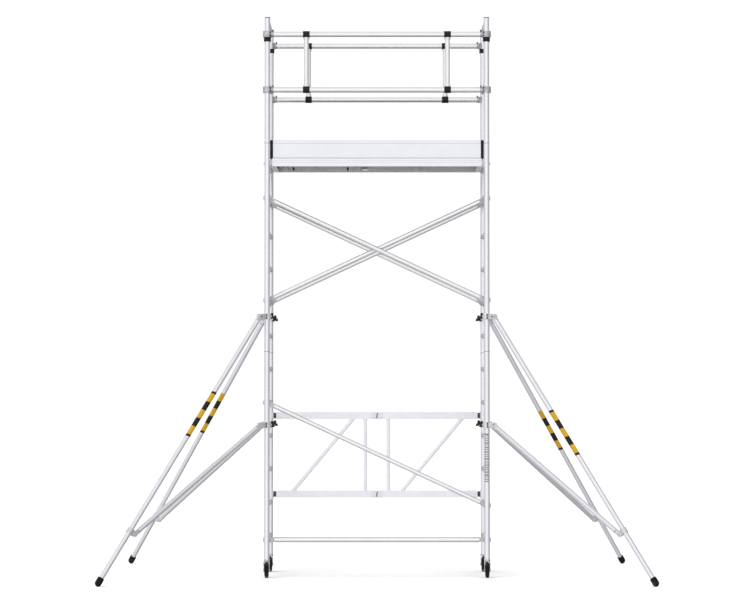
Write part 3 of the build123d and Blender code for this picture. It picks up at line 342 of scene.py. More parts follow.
def truss_joints(name, beam, cast):
    """Straps like the beams, black end knuckles, and painted shade for a slot in the middle knuckle."""
    s = Surface(name)
    grain = s.noise(480.0, 4.0, 0.6)
    cloud = s.noise(24.0, 4.0, 0.6)
    tone = s.plus(s.times(grain, 0.5), s.times(cloud, 0.5))
    share = s.fit(tone, 0.32, 0.68)
    light = s.blend(share, grade(cast, 0.90), grade(cast, 1.08))
    plain = s.blend(share, grade(beam, 0.95), grade(beam, 1.03))
    dark = s.blend(grain, (0.016, 0.016, 0.018), (0.034, 0.034, 0.037))
    side = s.calc("ABSOLUTE", s.x)
    from_upright = s.combine(s.minus(side, UPRIGHT_X), s.minus(s.y, UPRIGHT_Y))
    beyond = s.over(s.vector("LENGTH", from_upright), TRUSS_STRAP_R)
    ends = s.over(side, TRUSS_ENDS_X)
    base = s.blend(ends, plain, s.blend(beyond, light, dark))
    # Painted shade: a dark leaning line stands in for the slot in the middle knuckle.
    upper = s.over(s.z, sum(TRUSS_BEAMS_Z) / 2)
    lean = s.times(s.minus(s.z, s.mix(upper, *TRUSS_BEAMS_Z)), TRUSS_SLOT_LEAN)
    slot = s.inside(s.minus(s.x, lean), TRUSS_SLOT_HALF)
    base = s.blend(slot, base, (0.03, 0.03, 0.032))
    metal = s.times(s.minus(1.0, s.times(ends, beyond)), 0.75)
    matt = s.plus(s.times(cloud, 0.22), 0.36)
    return s.set(Base_Color=base, Metallic=metal, Roughness=matt, Normal=s.relief(tone, 0.28, 0.0005))


# ------------------------------------------------------------------ plastic, rubber, wood, film
def plastic(name, colour, rough, other=None):
    """Moulded polymer: fine eroded texture with paler scuffs.
    other is (mask, colour) for a bare metal part of the same node."""
    s = Surface(name)
    grain = s.noise(900.0, 3.0, 0.6)
    cloud = s.noise(34.0, 5.0, 0.65)
    rub = s.fit(s.noise(120.0, 4.0, 0.6, 0.8), 0.60, 0.72)
    base = s.blend(cloud, grade(colour, 0.8), grade(colour, 1.5))
    base = s.blend(s.times(rub, 0.16), base, tuple(c * 0.6 + 0.03 for c in colour))
    metal = 0.0
    if other is not None:
        mask_of, second = other
        metal = mask_of(s)
        base = s.blend(metal, base, s.blend(cloud, grade(second, 0.9), grade(second, 1.06)))
    matt = s.plus(s.times(cloud, 0.2), rough - 0.1)
    return s.set(Base_Color=base, Metallic=metal, Roughness=matt, Specular_IOR_Level=0.28,
                 Normal=s.relief(grain, 0.35, 0.0003))


def rubber(name, colour, rough):
    """Moulded rubber with a grain and with dust that gathers near the floor."""
    s = Surface(name)
    grain = s.noise(640.0, 4.0, 0.65)
    dust = s.fit(s.noise(22.0, 5.0, 0.6), 0.46, 0.74)
    low = s.minus(1.0, s.fit(s.z, 0.0, 0.09))
    grime = s.times(dust, s.plus(s.times(low, 0.16), 0.05))
    base = s.blend(grain, grade(colour, 0.8), grade(colour, 1.35))
    base = s.blend(grime, base, (0.16, 0.15, 0.135))
    matt = s.plus(s.times(grain, 0.16), rough - 0.08)
    return s.set(Base_Color=base, Roughness=matt, Specular_IOR_Level=0.22,
                 Normal=s.relief(grain, 0.45, 0.0005))


def wire_print(s, angle):
    """One direction of the wires pressed into the deck's film."""
    pitch = 0.0065
    across = s.plus(s.times(s.x, cos(angle)), s.times(s.y, sin(angle)))
    wave = s.calc("ABSOLUTE", s.calc("SINE", s.times(across, pi / pitch)))
    return s.minus(1.0, s.fit(wave, 0.10, 0.34))


def deck_ply(name):
    """Film-faced birch plywood: wire-mesh print on top, plain film below, veneers at the edges."""
    s = Surface(name)
    veneer_pair = 0.0028
    mesh = s.calc("MAXIMUM", wire_print(s, radians(30)), wire_print(s, radians(150)))
    wear = s.fit(s.noise(5.0, 6.0, 0.62), 0.44, 0.72)
    dust = s.fit(s.noise(60.0, 5.0, 0.65), 0.55, 0.75)
    film = s.blend(wear, (0.052, 0.030, 0.020), (0.105, 0.072, 0.052))
    film = s.blend(s.times(mesh, 0.45), film, (0.135, 0.095, 0.070))
    film = s.blend(s.times(dust, 0.25), film, (0.22, 0.20, 0.17))
    fibre_at = s.combine(s.times(s.x, 6.0), s.times(s.y, 90.0), s.times(s.z, 90.0))
    fibre = s.noise_at(fibre_at, 1.0, 5.0, 0.6)
    under = s.blend(fibre, (0.082, 0.080, 0.082), (0.128, 0.126, 0.128))
    ply = s.calc("SINE", s.times(s.z, 2 * pi / veneer_pair))
    edge = s.blend(s.fit(ply, -0.4, 0.4), (0.42, 0.27, 0.14), (0.62, 0.44, 0.26))
    edge = s.blend(s.times(fibre, 0.5), edge, (0.30, 0.19, 0.10))
    facing = s.split(s.normal)[2]
    top = s.over(facing, 0.5)
    below = s.calc("LESS_THAN", facing, -0.5)
    base = s.blend(below, s.blend(top, edge, film), under)
    matt = s.mix(top, 0.62, s.plus(s.times(wear, 0.2), 0.42))
    height = s.plus(s.times(mesh, top), s.times(fibre, 0.2))
    return s.set(Base_Color=base, Roughness=matt, Normal=s.relief(height, 0.6, 0.0006))


def vinyl(name, colour, rough):
    """Reflective adhesive film with a honeycomb under its clear face."""
    s = Surface(name)
    cells = s.add("ShaderNodeTexVoronoi", {"Vector": s.place, "Scale": 420.0},
                  feature="DISTANCE_TO_EDGE")
    wall = s.minus(1.0, s.fit(cells.outputs["Distance"], 0.02, 0.10))
    cloud = s.noise(26.0, 5.0, 0.6)
    scratch = s.fit(s.noise(180.0, 3.0, 0.5, 1.2), 0.66, 0.74)
    base = s.blend(cloud, grade(colour, 0.86), grade(colour, 1.10))
    base = s.blend(s.times(wall, 0.22), base, grade(colour, 0.6))
    base = s.blend(s.times(scratch, 0.3), base, grade(colour, 0.55))
    matt = s.plus(s.times(cloud, 0.2), rough - 0.1)
    normal = s.relief(s.minus(cloud, s.times(wall, 0.3)), 0.2, 0.0003)
    return s.set(Base_Color=base, Roughness=matt, Normal=normal, Coat_Weight=0.10,
                 Coat_Roughness=0.2, Specular_IOR_Level=0.3)


# ------------------------------------------------------------------ materials
ALU = (0.905, 0.905, 0.960)
BRACE = (0.950, 0.950, 0.995)
BEAM = (0.765, 0.762, 0.805)
CAST = (0.82, 0.825, 0.85)
COUPLER = (0.86, 0.86, 0.915)
CLAW = (0.66, 0.665, 0.685)
STEEL = (0.70, 0.705, 0.72)
BLACK = (0.0052, 0.0052, 0.0056)
# Painted shade lines: in the deck frame's groove and under its lip, along the toe board's two grooves, and
# in the seam where the toe board stands on the deck.
DECK_GROOVES = ((DECK_GROOVE_Z, 0.0016, 0.30), (DECK_LIP_Z, 0.0016, 0.34))
TOE_GROOVES = (
    (TOE_TOP_Z - 0.028, 0.0017, 0.40),
    (TOE_TOP_Z - 0.0035, 0.0016, 0.20),
    (DECK_TOP_Z + 0.0012, 0.0038, 0.90),
)

paint = {
    "frame_aluminium": aluminium("frame_aluminium", ALU, 0.34, rungs=True),
    "brace_aluminium": aluminium("brace_aluminium", BRACE, 0.38),
    "truss_aluminium": aluminium("truss_aluminium", BEAM, 0.54, metal=0.30, lines=True),
    # The deck frame carries painted shade on its inner faces.
    "deck_aluminium": aluminium(
        "deck_aluminium", (0.885, 0.880, 0.938), 0.38, lines=True, grooves=DECK_GROOVES,
        shade_within=DECK_INNER_Y, other=(deck_hooks, STEEL, 0.42),
    ),
    "toe_board": aluminium("toe_board", (0.898, 0.905, 0.955), 0.46, lines=True, grooves=TOE_GROOVES),
    "cast_claw": cast_metal(
        "cast_claw", CLAW, 0.46, mottle=0.52, other=(release_levers, (0.10, 0.10, 0.104))
    ),
    "hinge_steel": truss_joints("truss_joints", BEAM, (0.86, 0.86, 0.885)),
    "zinc_steel": plated("zinc_steel", STEEL, 0.36),
    "black_plastic": plastic("black_plastic", BLACK, 0.46),
    "knob_plastic": plastic("knob_plastic", (0.0048, 0.0048, 0.0052), 0.42),
    "brake_pedal": plastic("brake_pedal", (0.0045, 0.0045, 0.0048), 0.50),
    "caster_tyre": rubber("caster_tyre", (0.0055, 0.0055, 0.0058), 0.66),
    "foot_rubber": rubber("foot_rubber", (0.0050, 0.0050, 0.0052), 0.74),
    "deck_board": deck_ply("deck_board"),
}
wheel_plastic = plastic("wheel_plastic", (0.012, 0.0124, 0.0135), 0.44)
# Weld colour: a darker grey, partly the welds' own colour and partly painted shade under the rung ends.
weld_metal_and_shade = cast_metal("weld_metal_and_shade", (0.44, 0.44, 0.455), 0.46)
joint_seal = plastic("joint_seal", (0.10, 0.10, 0.105), 0.6)
bolt_black = cast_metal("bolt_black", (0.045, 0.045, 0.048), 0.48, metal=0.8)
stud_steel = plated("stud_steel", (0.16, 0.16, 0.165), 0.42)
tape_yellow = vinyl("tape_yellow", (0.50, 0.280, 0.0060), 0.40)
tape_black = vinyl("tape_black", (0.0040, 0.0030, 0.0024), 0.42)
label_grey = vinyl("label_grey", (0.23, 0.23, 0.24), 0.42)


# ------------------------------------------------------------------ outrigger lines
def joint_at(name):
    return Vector(joints[name]["pos_m"])


class Outrigger:
    """The places and directions that one outrigger is built on."""

    def __init__(self, corner):
        self.clamp = joint_at(f"outrigger_{corner}_swing")
        self.pivot = joint_at(f"outrigger_{corner}_lift")
        self.out = (self.pivot - self.clamp).normalized()
        self.foot = self.clamp + self.out * FOOT_R
        self.foot.z = FOOT_Z
        self.along = (self.foot - self.pivot).normalized()
        low_z = joint_at(f"outrigger_{corner}_knob_lower_turn").z
        self.low_clamp = Vector((self.clamp.x, self.clamp.y, low_z))
        self.low_pivot = Vector((self.pivot.x, self.pivot.y, low_z))
        strut_top = joint_at(f"outrigger_{corner}_strut_fold")
        self.strut_along = (strut_top - self.low_pivot).normalized()


outriggers = {corner: Outrigger(corner) for corner in CORNERS}


# ------------------------------------------------------------------ materials of the CAD nodes
def node_material(name, slot):
    """The slot's shared material, or the node's own where a mask depends on its corner."""
    if name == "post_and_rail_sleeves":
        return plastic(name, BLACK, 0.46, other=(tee_sockets, ALU))
    if slot in paint:
        return paint[slot]
    if slot not in ("outrigger_aluminium", "coupler_cast"):
        raise SystemExit(f"no material for {slot}")
    rig = outriggers[next(corner for corner in CORNERS if corner in name)]
    if slot == "coupler_cast":
        return cast_metal(name, COUPLER, 0.46, other=(bolt_ends(rig.clamp, rig.out), (0.42, 0.42, 0.43)))
    if name.endswith("_strut"):
        castings = beyond_tube(rig.low_pivot, rig.strut_along)
    else:
        castings = beyond_tube(rig.pivot, rig.along)
    return aluminium(name, ALU, 0.33, other=(castings, CAST, 0.44))


for node_name, node_object in nodes.items():
    chosen = node_material(node_name, node_object.data.materials[0].name.split(".")[0])
    for material_slot in node_object.material_slots:
        material_slot.material = chosen


# ------------------------------------------------------------------ mesh helpers
def finish_piece(name, bm, materials, body, replaces=(), sharp=35):
    bmesh.ops.recalc_face_normals(bm, faces=bm.faces)
    mesh = bpy.data.meshes.new(name)
    bm.to_mesh(mesh)
    bm.free()
    for material in materials:
        mesh.materials.append(material)
    for face in mesh.polygons:
        face.use_smooth = True
    mesh.set_sharp_from_angle(angle=radians(sharp))
    piece = bpy.data.objects.new(name, mesh)
    scene.collection.objects.link(piece)
    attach(piece, body)
    if replaces:
        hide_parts(*replaces)


def axes(origin, along):
    """Matrix whose local z runs along a direction and whose local x leans up."""
    z = Vector(along).normalized()
    x = UP - z * z.dot(UP)
    if x.length < 1e-6:
        x = Vector((1.0, 0.0, 0.0)) - z * z.x
    x.normalize()
    made = Matrix((x, z.cross(x), z)).transposed().to_4x4()
    made.translation = Vector(origin)
    return made


def skin(bm, rings, closed_ends=True, loop=False, material=0):
    """Joins equal rings of points with faces; a loop joins the last ring to the first."""
    made = [[bm.verts.new(point) for point in ring] for ring in rings]
    count = len(made[0])
    pairs = list(zip(made, made[1:])) + ([(made[-1], made[0])] if loop else [])
    for a, b in pairs:
        for k in range(count):
            n = (k + 1) % count
            bm.faces.new((a[k], a[n], b[n], b[k])).material_index = material
    if closed_ends and not loop:
        for ring in (made[0], made[-1]):
            bm.faces.new(ring).material_index = material


def turned(place, profile, sides):
    """A ring round the matrix's z axis for each (radius, height) in millimetres."""
    turns = [2 * pi * k / sides for k in range(sides)]
    return [[place @ (Vector((cos(a) * r, sin(a) * r, h)) * MM) for a in turns] for r, h in profile]


def lathe(bm, place, profile, sides=48, closed_ends=True):
    skin(bm, turned(place, profile, sides), closed_ends)


def loop_lathe(bm, place, section, sides=48):
    """Turns a closed section, which leaves a hole in the middle."""
    skin(bm, turned(place, section, sides), loop=True)


def mirrored(half):
    """A profile from its lower half, middle last."""
    return half + [(r, -h) for r, h in reversed(half)]


def dome(bm, place, radius, height):
    """A rivet or screw head, in millimetres."""
    arc = [(radius * sin(pi / 2 * (1 - k / 4)), height * sin(pi / 2 * k / 4)) for k in range(4)]
    lathe(bm, place, [(radius, -0.3)] + arc + [(radius * 0.12, height)], 16)


# ------------------------------------------------------------------ welds on the ladder frames
WELD_R = 0.0027
WELD_LIFT = 0.0004
WELD_RIPPLE = 0.13
WELD_STEPS = 44
WELD_SIDES = 8


def weld_ring(bm, x, z, side):
    """A rippled bead along the seam of a rung and an upright."""
    seam = []
    for k in range(WELD_STEPS):
        a = 2 * pi * k / WELD_STEPS
        dx = (RUNG_R + WELD_LIFT) * cos(a)
        dz = (RUNG_R + WELD_LIFT) * sin(a)
        dy = UPRIGHT_Y - sqrt(UPRIGHT_R ** 2 - dx ** 2)
        seam.append(Vector((x + dx, side * dy, z + dz)))
    rings = []
    for k, point in enumerate(seam):
        tangent = (seam[(k + 1) % WELD_STEPS] - seam[k - 1]).normalized()
        outward = Vector((point.x - x, 0, point.z - z)).normalized()
        second = tangent.cross(outward).normalized()
        size = WELD_R * (1.0 + WELD_RIPPLE * (-1) ** k)
        turns = [2 * pi * j / WELD_SIDES for j in range(WELD_SIDES)]
        rings.append([point + (outward * cos(a) + second * sin(a)) * size for a in turns])
    skin(bm, rings, loop=True)


rung_levels = [RUNG_FIRST_Z + RUNG_PITCH * k for k in range(RUNG_COUNT)] + list(GUARD_RUNGS_Z)
for side_name, sx in (("left", -1), ("right", 1)):
    bm = bmesh.new()
    for level in rung_levels:
        for sy in (-1, 1):
            weld_ring(bm, sx * UPRIGHT_X, level, sy)
    finish_piece(f"frame_welds_{side_name}", bm, [weld_metal_and_shade], "tower")

# ------------------------------------------------------------------ dark lines where uprights meet
SEAL = [(22.2, -2.0), (23.3, -1.7), (23.3, 1.7), (22.2, 2.0)]

bm = bmesh.new()
for sx, sy in UPRIGHT_SIDES:
    for level in SPLICES_Z:
        loop_lathe(bm, axes((sx * UPRIGHT_X, sy * UPRIGHT_Y, level), UP), SEAL, 40)
finish_piece("splice_seals", bm, [joint_seal], "tower")

# ------------------------------------------------------------------ caster tyres and hubs, millimetres
TYRE = mirrored([
    (45.4, -15.4), (46.6, -16.3), (48.0, -16.5), (50.0, -16.0), (51.6, -16.2), (54.2, -15.2),
    (56.8, -13.5), (59.0, -11.4), (60.7, -9.2), (61.4, -7.9), (60.5, -7.3), (60.8, -6.1),
    (62.0, -5.5), (62.5, -3.0),
])
HUB = mirrored([
    (6.2, -18.4), (10.6, -18.4), (11.6, -17.6), (12.0, -16.0), (13.8, -15.2), (15.2, -13.6),
    (16.4, -6.4), (18.0, -5.0), (36.0, -4.6), (38.4, -6.2), (39.8, -14.6), (41.2, -15.8),
    (45.6, -15.6),
])
RIB = [(14.5, 4.0), (39.6, 4.0), (39.2, 12.6), (30.0, 9.4), (22.0, 9.6), (14.8, 13.0)]
RIB_HALF = 1.7
RIB_COUNT = 8
WHEEL_SIDES = 72


def wheel_rib(bm, place, angle, face):
    """A tapering rib from the hub to the rim, on one face of the wheel."""
    spoke = place @ Matrix.Rotation(angle, 4, "Z")
    skin(bm, [
        [spoke @ (Vector((r, side * RIB_HALF, face * h)) * MM) for r, h in RIB] for side in (-1, 1)
    ])


for corner in CORNERS:
    axle = axes(joint_at(f"caster_{corner}_spin"), (1, 0, 0))
    bm = bmesh.new()
    loop_lathe(bm, axle, TYRE, WHEEL_SIDES)
    finish_piece(
        f"caster_{corner}_tyre", bm, [paint["caster_tyre"]], f"wheel_{corner}",
        [f"caster_{corner}_wheel"], 28,
    )
    bm = bmesh.new()
    loop_lathe(bm, axle, HUB, WHEEL_SIDES)
    for k in range(RIB_COUNT):
        for face in (-1, 1):
            wheel_rib(bm, axle, 2 * pi * k / RIB_COUNT, face)
    finish_piece(
        f"caster_{corner}_hub", bm, [wheel_plastic], f"wheel_{corner}"
    )

# ------------------------------------------------------------------ knobs and studs, millimetres
KNOB_START = 40.3
KNOB_DEEP = 22.0
KNOB_CORE_R = 11.4
KNOB_ARM = 20.4
KNOB_EDGE = 13.0
KNOB_SIDES = 96
KNOB_LEVELS = (
    (0.0, 0.72), (0.4, 0.80), (2.6, 0.965), (5.0, 1.0),
    (15.0, 1.0), (18.6, 0.965), (21.0, 0.86), (22.0, 0.70),
)
KNOB_COLLAR = [(9.6, -0.6), (9.6, -0.1), (8.8, 0.0), (5.4, 0.0), (5.4, -0.6)]
STUD_END = 80.0
STUD_TIP_R = 4.2
THREAD_ROOT_R = 5.02
THREAD_DEEP = 0.62
THREAD_PITCH = 1.75
THREAD_SIDES = 24
THREAD_STEPS_PER_TURN = 6


def knob_ring(place, height, grow):
    """A three-armed outline, drawn in where grow is under 1."""
    ring = []
    for k in range(KNOB_SIDES):
        a = 2 * pi * k / KNOB_SIDES
        r = KNOB_CORE_R + KNOB_ARM * ((1 + cos(3 * a)) / 2) ** 3.0 - (1 - grow) * KNOB_EDGE
        ring.append(place @ (Vector((cos(a) * r, sin(a) * r, height)) * MM))
    return ring


def star_knob(name, clamp, out, node):
    """A knob with three arms; the body that it rides on has its name."""
    place = axes(clamp - out * KNOB_START * MM, -out)
    bm = bmesh.new()
    skin(bm, [knob_ring(place, height, grow) for height, grow in KNOB_LEVELS])
    lathe(bm, place, [(r, KNOB_DEEP + h) for r, h in KNOB_COLLAR], 40)
    finish_piece(name, bm, [paint["knob_plastic"]], name, [node], 40)


def stud_thread(bm, clamp, out):
    """Helical thread on the clamp stud, from inside the knob to the stud's tip."""
    place = axes(clamp, -out)
    start = KNOB_START + KNOB_DEEP - 1.0
    count = int((STUD_END - start) / THREAD_PITCH * THREAD_STEPS_PER_TURN)
    rings = []
    for j in range(count + 1):
        h = start + (STUD_END - start) * j / count
        ring = []
        for k in range(THREAD_SIDES):
            a = 2 * pi * k / THREAD_SIDES
            phase = (h / THREAD_PITCH - a / (2 * pi)) % 1.0
            r = THREAD_ROOT_R + THREAD_DEEP * (1 - abs(phase - 0.5) * 2)
            if j == count:
                r = STUD_TIP_R
            ring.append(place @ (Vector((cos(a) * r, sin(a) * r, h)) * MM))
        rings.append(ring)
    skin(bm, rings)


def knobs_and_studs(corner, rig):
    star_knob(f"knob_upper_{corner}", rig.clamp, rig.out, f"outrigger_{corner}_knob_upper")
    star_knob(f"knob_lower_{corner}", rig.low_clamp, rig.out, f"outrigger_{corner}_knob_lower")
    bm = bmesh.new()
    stud_thread(bm, rig.clamp, rig.out)
    stud_thread(bm, rig.low_clamp, rig.out)
    finish_piece(f"stud_threads_{corner}", bm, [stud_steel], f"couplers_{corner}")


# ------------------------------------------------------------------ ribbed rubber feet, millimetres
FOOT = [
    (20.4, -45.6), (24.2, -46.0), (25.6, -45.2), (26.4, -43.0), (26.4, -39.6), (25.0, -38.8),
    (25.0, -36.6), (26.8, -35.8), (26.8, -32.0), (25.2, -31.2), (25.2, -29.0), (27.0, -28.2),
    (27.0, -24.4), (25.4, -23.6), (25.4, -21.4), (27.0, -20.6), (27.0, 0.0), (26.6, 4.7),
    (25.4, 9.2), (23.9, 11.4), (23.7, 12.6), (22.1, 15.5), (20.2, 16.6), (19.9, 18.2),
    (16.6, 21.3), (14.4, 22.0), (13.4, 23.4), (9.2, 25.4), (4.7, 26.6), (0.6, 27.0),
]


def rubber_foot(corner, rig):
    bm = bmesh.new()
    lathe(bm, axes(rig.foot, rig.along), FOOT, closed_ends=False)
    finish_piece(
        f"foot_{corner}", bm, [paint["foot_rubber"]], f"leg_{corner}",
        [f"outrigger_{corner}_foot"], 30,
    )


# ------------------------------------------------------------------ hazard tape on the legs, metres
TAPE_R = LEG_R + 0.00035
TAPE_STRIPE = 0.080
TAPE_CAP = 0.020
TAPE_SLANT = 0.0045
TAPE_SIDES = 40
TAPE_MIDDLE = {"left": 0.990, "right": 1.175}
YELLOW, DARK = 0, 1


def tape_ring(place, distance):
    """A slanted ring round the leg."""
    turns = [2 * pi * k / TAPE_SIDES for k in range(TAPE_SIDES)]
    return [
        place @ Vector((cos(a) * TAPE_R, sin(a) * TAPE_R, distance + TAPE_SLANT * cos(a))) for a in turns
    ]


def hazard_tape(corner, rig):
    """Yellow and dark bands, with a short dark one at the cut ends that show."""
    bands = [(TAPE_STRIPE, kind) for kind in (YELLOW, DARK, YELLOW, DARK, YELLOW)] + [(TAPE_CAP, DARK)]
    if "front" in corner:
        bands.insert(0, (TAPE_CAP, DARK))
    at = TAPE_MIDDLE[corner.split("_")[1]] - sum(length for length, kind in bands) / 2
    place = axes(rig.pivot, rig.along)
    bm = bmesh.new()
    for length, kind in bands:
        rings = [tape_ring(place, at), tape_ring(place, at + length)]
        skin(bm, rings, closed_ends=False, material=kind)
        at += length
    bmesh.ops.remove_doubles(bm, verts=bm.verts, dist=1e-6)
    finish_piece(f"hazard_tape_{corner}", bm, [tape_yellow, tape_black], f"leg_{corner}")


for corner, rig in outriggers.items():
    knobs_and_studs(corner, rig)
    rubber_foot(corner, rig)
    hazard_tape(corner, rig)

# ------------------------------------------------------------------ clamp hinges on the couplers
CLAMP_PIN = mirrored([(1.5, -22.0), (4.6, -21.4), (5.2, -20.6), (5.2, -8.4), (4.3, -8.0)])
PIN_REACH = 0.0345
PIN_TURN = radians(50)

for corner, rig in outriggers.items():
    bm = bmesh.new()
    for clamp in (rig.clamp, rig.low_clamp):
        for turn in (-PIN_TURN, PIN_TURN):
            at = clamp + (Matrix.Rotation(turn, 3, "Z") @ rig.out) * PIN_REACH
            lathe(bm, axes(at, UP), CLAMP_PIN, 24)
    finish_piece(f"clamp_pins_{corner}", bm, [bolt_black], f"couplers_{corner}")

# ------------------------------------------------------------------ bolts on the guardrail claws
HEX_HEAD = [(0.5, -1.0), (6.6, -1.0), (6.6, 3.2), (6.0, 3.8), (0.5, 3.8)]
BOLT_INWARD = 0.0235
BOLT_OUTWARD = 0.0288
BOLT_HALF_PITCH = 0.013
BOLT_FACES = (0.63, 0.77)

bm = bmesh.new()
for sx, sy in UPRIGHT_SIDES:
    for level in GUARDRAILS_Z:
        for dz in (-BOLT_HALF_PITCH, BOLT_HALF_PITCH):
            at = (sx * (UPRIGHT_X - BOLT_INWARD), sy * (UPRIGHT_Y + BOLT_OUTWARD), level + dz)
            lathe(bm, axes(at, (-sx * BOLT_FACES[0], sy * BOLT_FACES[1], 0)), HEX_HEAD, 6)
finish_piece("claw_bolts", bm, [bolt_black], "tower", sharp=20)

# ------------------------------------------------------------------ generic label on the front right upright
LABEL_R = UPRIGHT_R + 0.0003
LABEL_LOW = 0.775
LABEL_HIGH = 1.175
LABEL_GAP = 0.006
LABEL_ROWS = (18, 7, 12, 9, 20, 6, 14, 10, 16, 8, 12, 18, 7, 11, 15, 9, 13, 19)
LABEL_BLOCKS = ((-58, -12), (-4, 40))
LABEL_WIDE_BLOCK = ((-50, 34),)
LABEL_FACETS = 6


def label_block(bm, start, end, top, tall):
    """A blank patch between two angles round the upright, in degrees."""
    rows = []
    for z in (top, top - tall):
        row = []
        for k in range(LABEL_FACETS + 1):
            a = radians(start + (end - start) * k / LABEL_FACETS)
            row.append(bm.verts.new((UPRIGHT_X + LABEL_R * sin(a), -UPRIGHT_Y - LABEL_R * cos(a), z)))
        rows.append(row)
    for k in range(LABEL_FACETS):
        bm.faces.new((rows[0][k], rows[0][k + 1], rows[1][k + 1], rows[1][k]))


bm = bmesh.new()
level = LABEL_HIGH
count = 0
while level > LABEL_LOW:
    tall = LABEL_ROWS[count % len(LABEL_ROWS)] * MM
    for start, end in LABEL_BLOCKS if count % 3 else LABEL_WIDE_BLOCK:
        label_block(bm, start, end, level, tall)
    level -= tall + LABEL_GAP
    count += 1
finish_piece("upright_label", bm, [label_grey], "tower")

# ------------------------------------------------------------------ rivets in the deck's boards
RIVET = (4.2, 1.1)
RIVETS_ALONG = 8
RIVETS_ACROSS = (-0.6, -0.2, 0.2, 0.6)
RIVET_SIDE_INSET = 0.010
RIVET_END_INSET = 0.012
RIVET_HATCH_GAP = 0.020
deck_low, deck_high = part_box("deck_panel")
hatch_low, hatch_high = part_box("hatch_panel")
deck_top = deck_high.z
edge_y = deck_high.y - RIVET_SIDE_INSET
main_left = hatch_high.x + RIVET_HATCH_GAP
main_right = deck_high.x - RIVET_END_INSET
deck_left = deck_low.x + RIVET_END_INSET

bm = bmesh.new()
for k in range(RIVETS_ALONG):
    x = main_left + (main_right - main_left) * k / (RIVETS_ALONG - 1)
    for y in (-edge_y, edge_y):
        dome(bm, axes((x, y, deck_top), UP), *RIVET)
for share in RIVETS_ACROSS:
    for x in (main_right, deck_left):
        dome(bm, axes((x, share * edge_y, deck_top), UP), *RIVET)
finish_piece("deck_rivets", bm, [paint["zinc_steel"]], "tower")

# ------------------------------------------------------------------ ring in the hatch's finger hole
GRIP = [
    (16.6, -11.4), (18.0, -11.4), (18.0, 0.0), (23.6, 0.0),
    (23.6, 0.7), (22.6, 1.4), (18.4, 1.6), (16.6, 0.6),
]
GRIP_INSET = 0.054

bm = bmesh.new()
grip_at = ((hatch_low.x + hatch_high.x) / 2, hatch_low.y + GRIP_INSET, deck_top)
loop_lathe(bm, axes(grip_at, UP), GRIP)
finish_piece("hatch_grip", bm, [paint["black_plastic"]], "hatch")

# ------------------------------------------------------------------ screws in the toe board brackets
SCREW = (4.0, 1.2)
SCREWS_ABOVE_DECK = (0.030, 0.122)
SCREWS_FROM_END = (0.022, 0.056)
bracket_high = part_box("toe_board_brackets")[1]

bm = bmesh.new()
for sx, sy in UPRIGHT_SIDES:
    for above in SCREWS_ABOVE_DECK:
        for back in SCREWS_FROM_END:
            at = (sx * bracket_high.x, sy * (bracket_high.y - back), DECK_TOP_Z + above)
            dome(bm, axes(at, (sx, 0, 0)), *SCREW)
finish_piece("bracket_screws", bm, [paint["zinc_steel"]], "tower")

# ------------------------------------------------------------------ brake pedals, outline in millimetres
PEDAL = [
    (-10.2, 2.9), (-8.1, 6.8), (-4.0, 9.8), (1.0, 10.5), (5.2, 9.2), (9.0, 5.6), (13.1, 0.6),
    (27.0, -5.6), (40.6, -11.6), (43.2, -13.8), (43.4, -16.6), (41.0, -20.6), (38.2, -22.2),
    (25.0, -16.6), (10.9, -10.1), (5.3, -9.1), (1.4, -6.6), (-2.7, -3.6), (-6.6, -0.6),
]
PEDAL_SLICES = ((-1.0, 0.90), (-0.94, 0.97), (-0.84, 1.0), (0.84, 1.0), (0.94, 0.97), (1.0, 0.90))
PEDAL_CENTRE = (13.0, -4.0)
PEDAL_HALF = 12.6
PEDAL_WIDENS = 3.9
PEDAL_WIDENS_FROM = 6.0
PEDAL_WIDENS_OVER = 20.0
PEDAL_LEAN = radians(24)

# tread bars on the pedals, metres
BAR = [(-0.0015, -0.0012), (0.0015, -0.0012), (0.0011, 0.0013), (-0.0011, 0.0013)]
BAR_COUNT = 4
BAR_FIRST = 0.020
BAR_PITCH = 0.0062
BAR_HEIGHT = 0.0050
BAR_HALF = 0.0135


def pedal_ring(pin, share, grow):
    """The side outline (forward, up) at a share of the pedal's half width."""
    middle_f, middle_u = PEDAL_CENTRE
    ring = []
    for f, u in PEDAL:
        widened = min(1.0, max(0.0, (f - PEDAL_WIDENS_FROM) / PEDAL_WIDENS_OVER))
        half = PEDAL_HALF + PEDAL_WIDENS * widened
        ahead = middle_f + (f - middle_f) * grow
        ring.append(pin + Vector((share * half, -ahead, middle_u + (u - middle_u) * grow)) * MM)
    return ring


def tread_bar(bm, at, forward, upward):
    skin(bm, [
        [at + Vector((side * BAR_HALF, 0, 0)) + forward * f + upward * u for f, u in BAR]
        for side in (-1, 1)
    ])


forward = Vector((0, -cos(PEDAL_LEAN), -sin(PEDAL_LEAN)))
upward = Vector((0, -sin(PEDAL_LEAN), cos(PEDAL_LEAN)))
for corner in CORNERS:
    pin = joint_at(f"caster_{corner}_brake")
    bm = bmesh.new()
    skin(bm, [pedal_ring(pin, share, grow) for share, grow in PEDAL_SLICES])
    for k in range(BAR_COUNT):
        at = pin + forward * (BAR_FIRST + BAR_PITCH * k) + upward * BAR_HEIGHT
        tread_bar(bm, at, forward, upward)
    finish_piece(
        f"pedal_{corner}", bm, [paint["brake_pedal"]], f"brake_{corner}",
        [f"caster_{corner}_brake"], 40,
    )

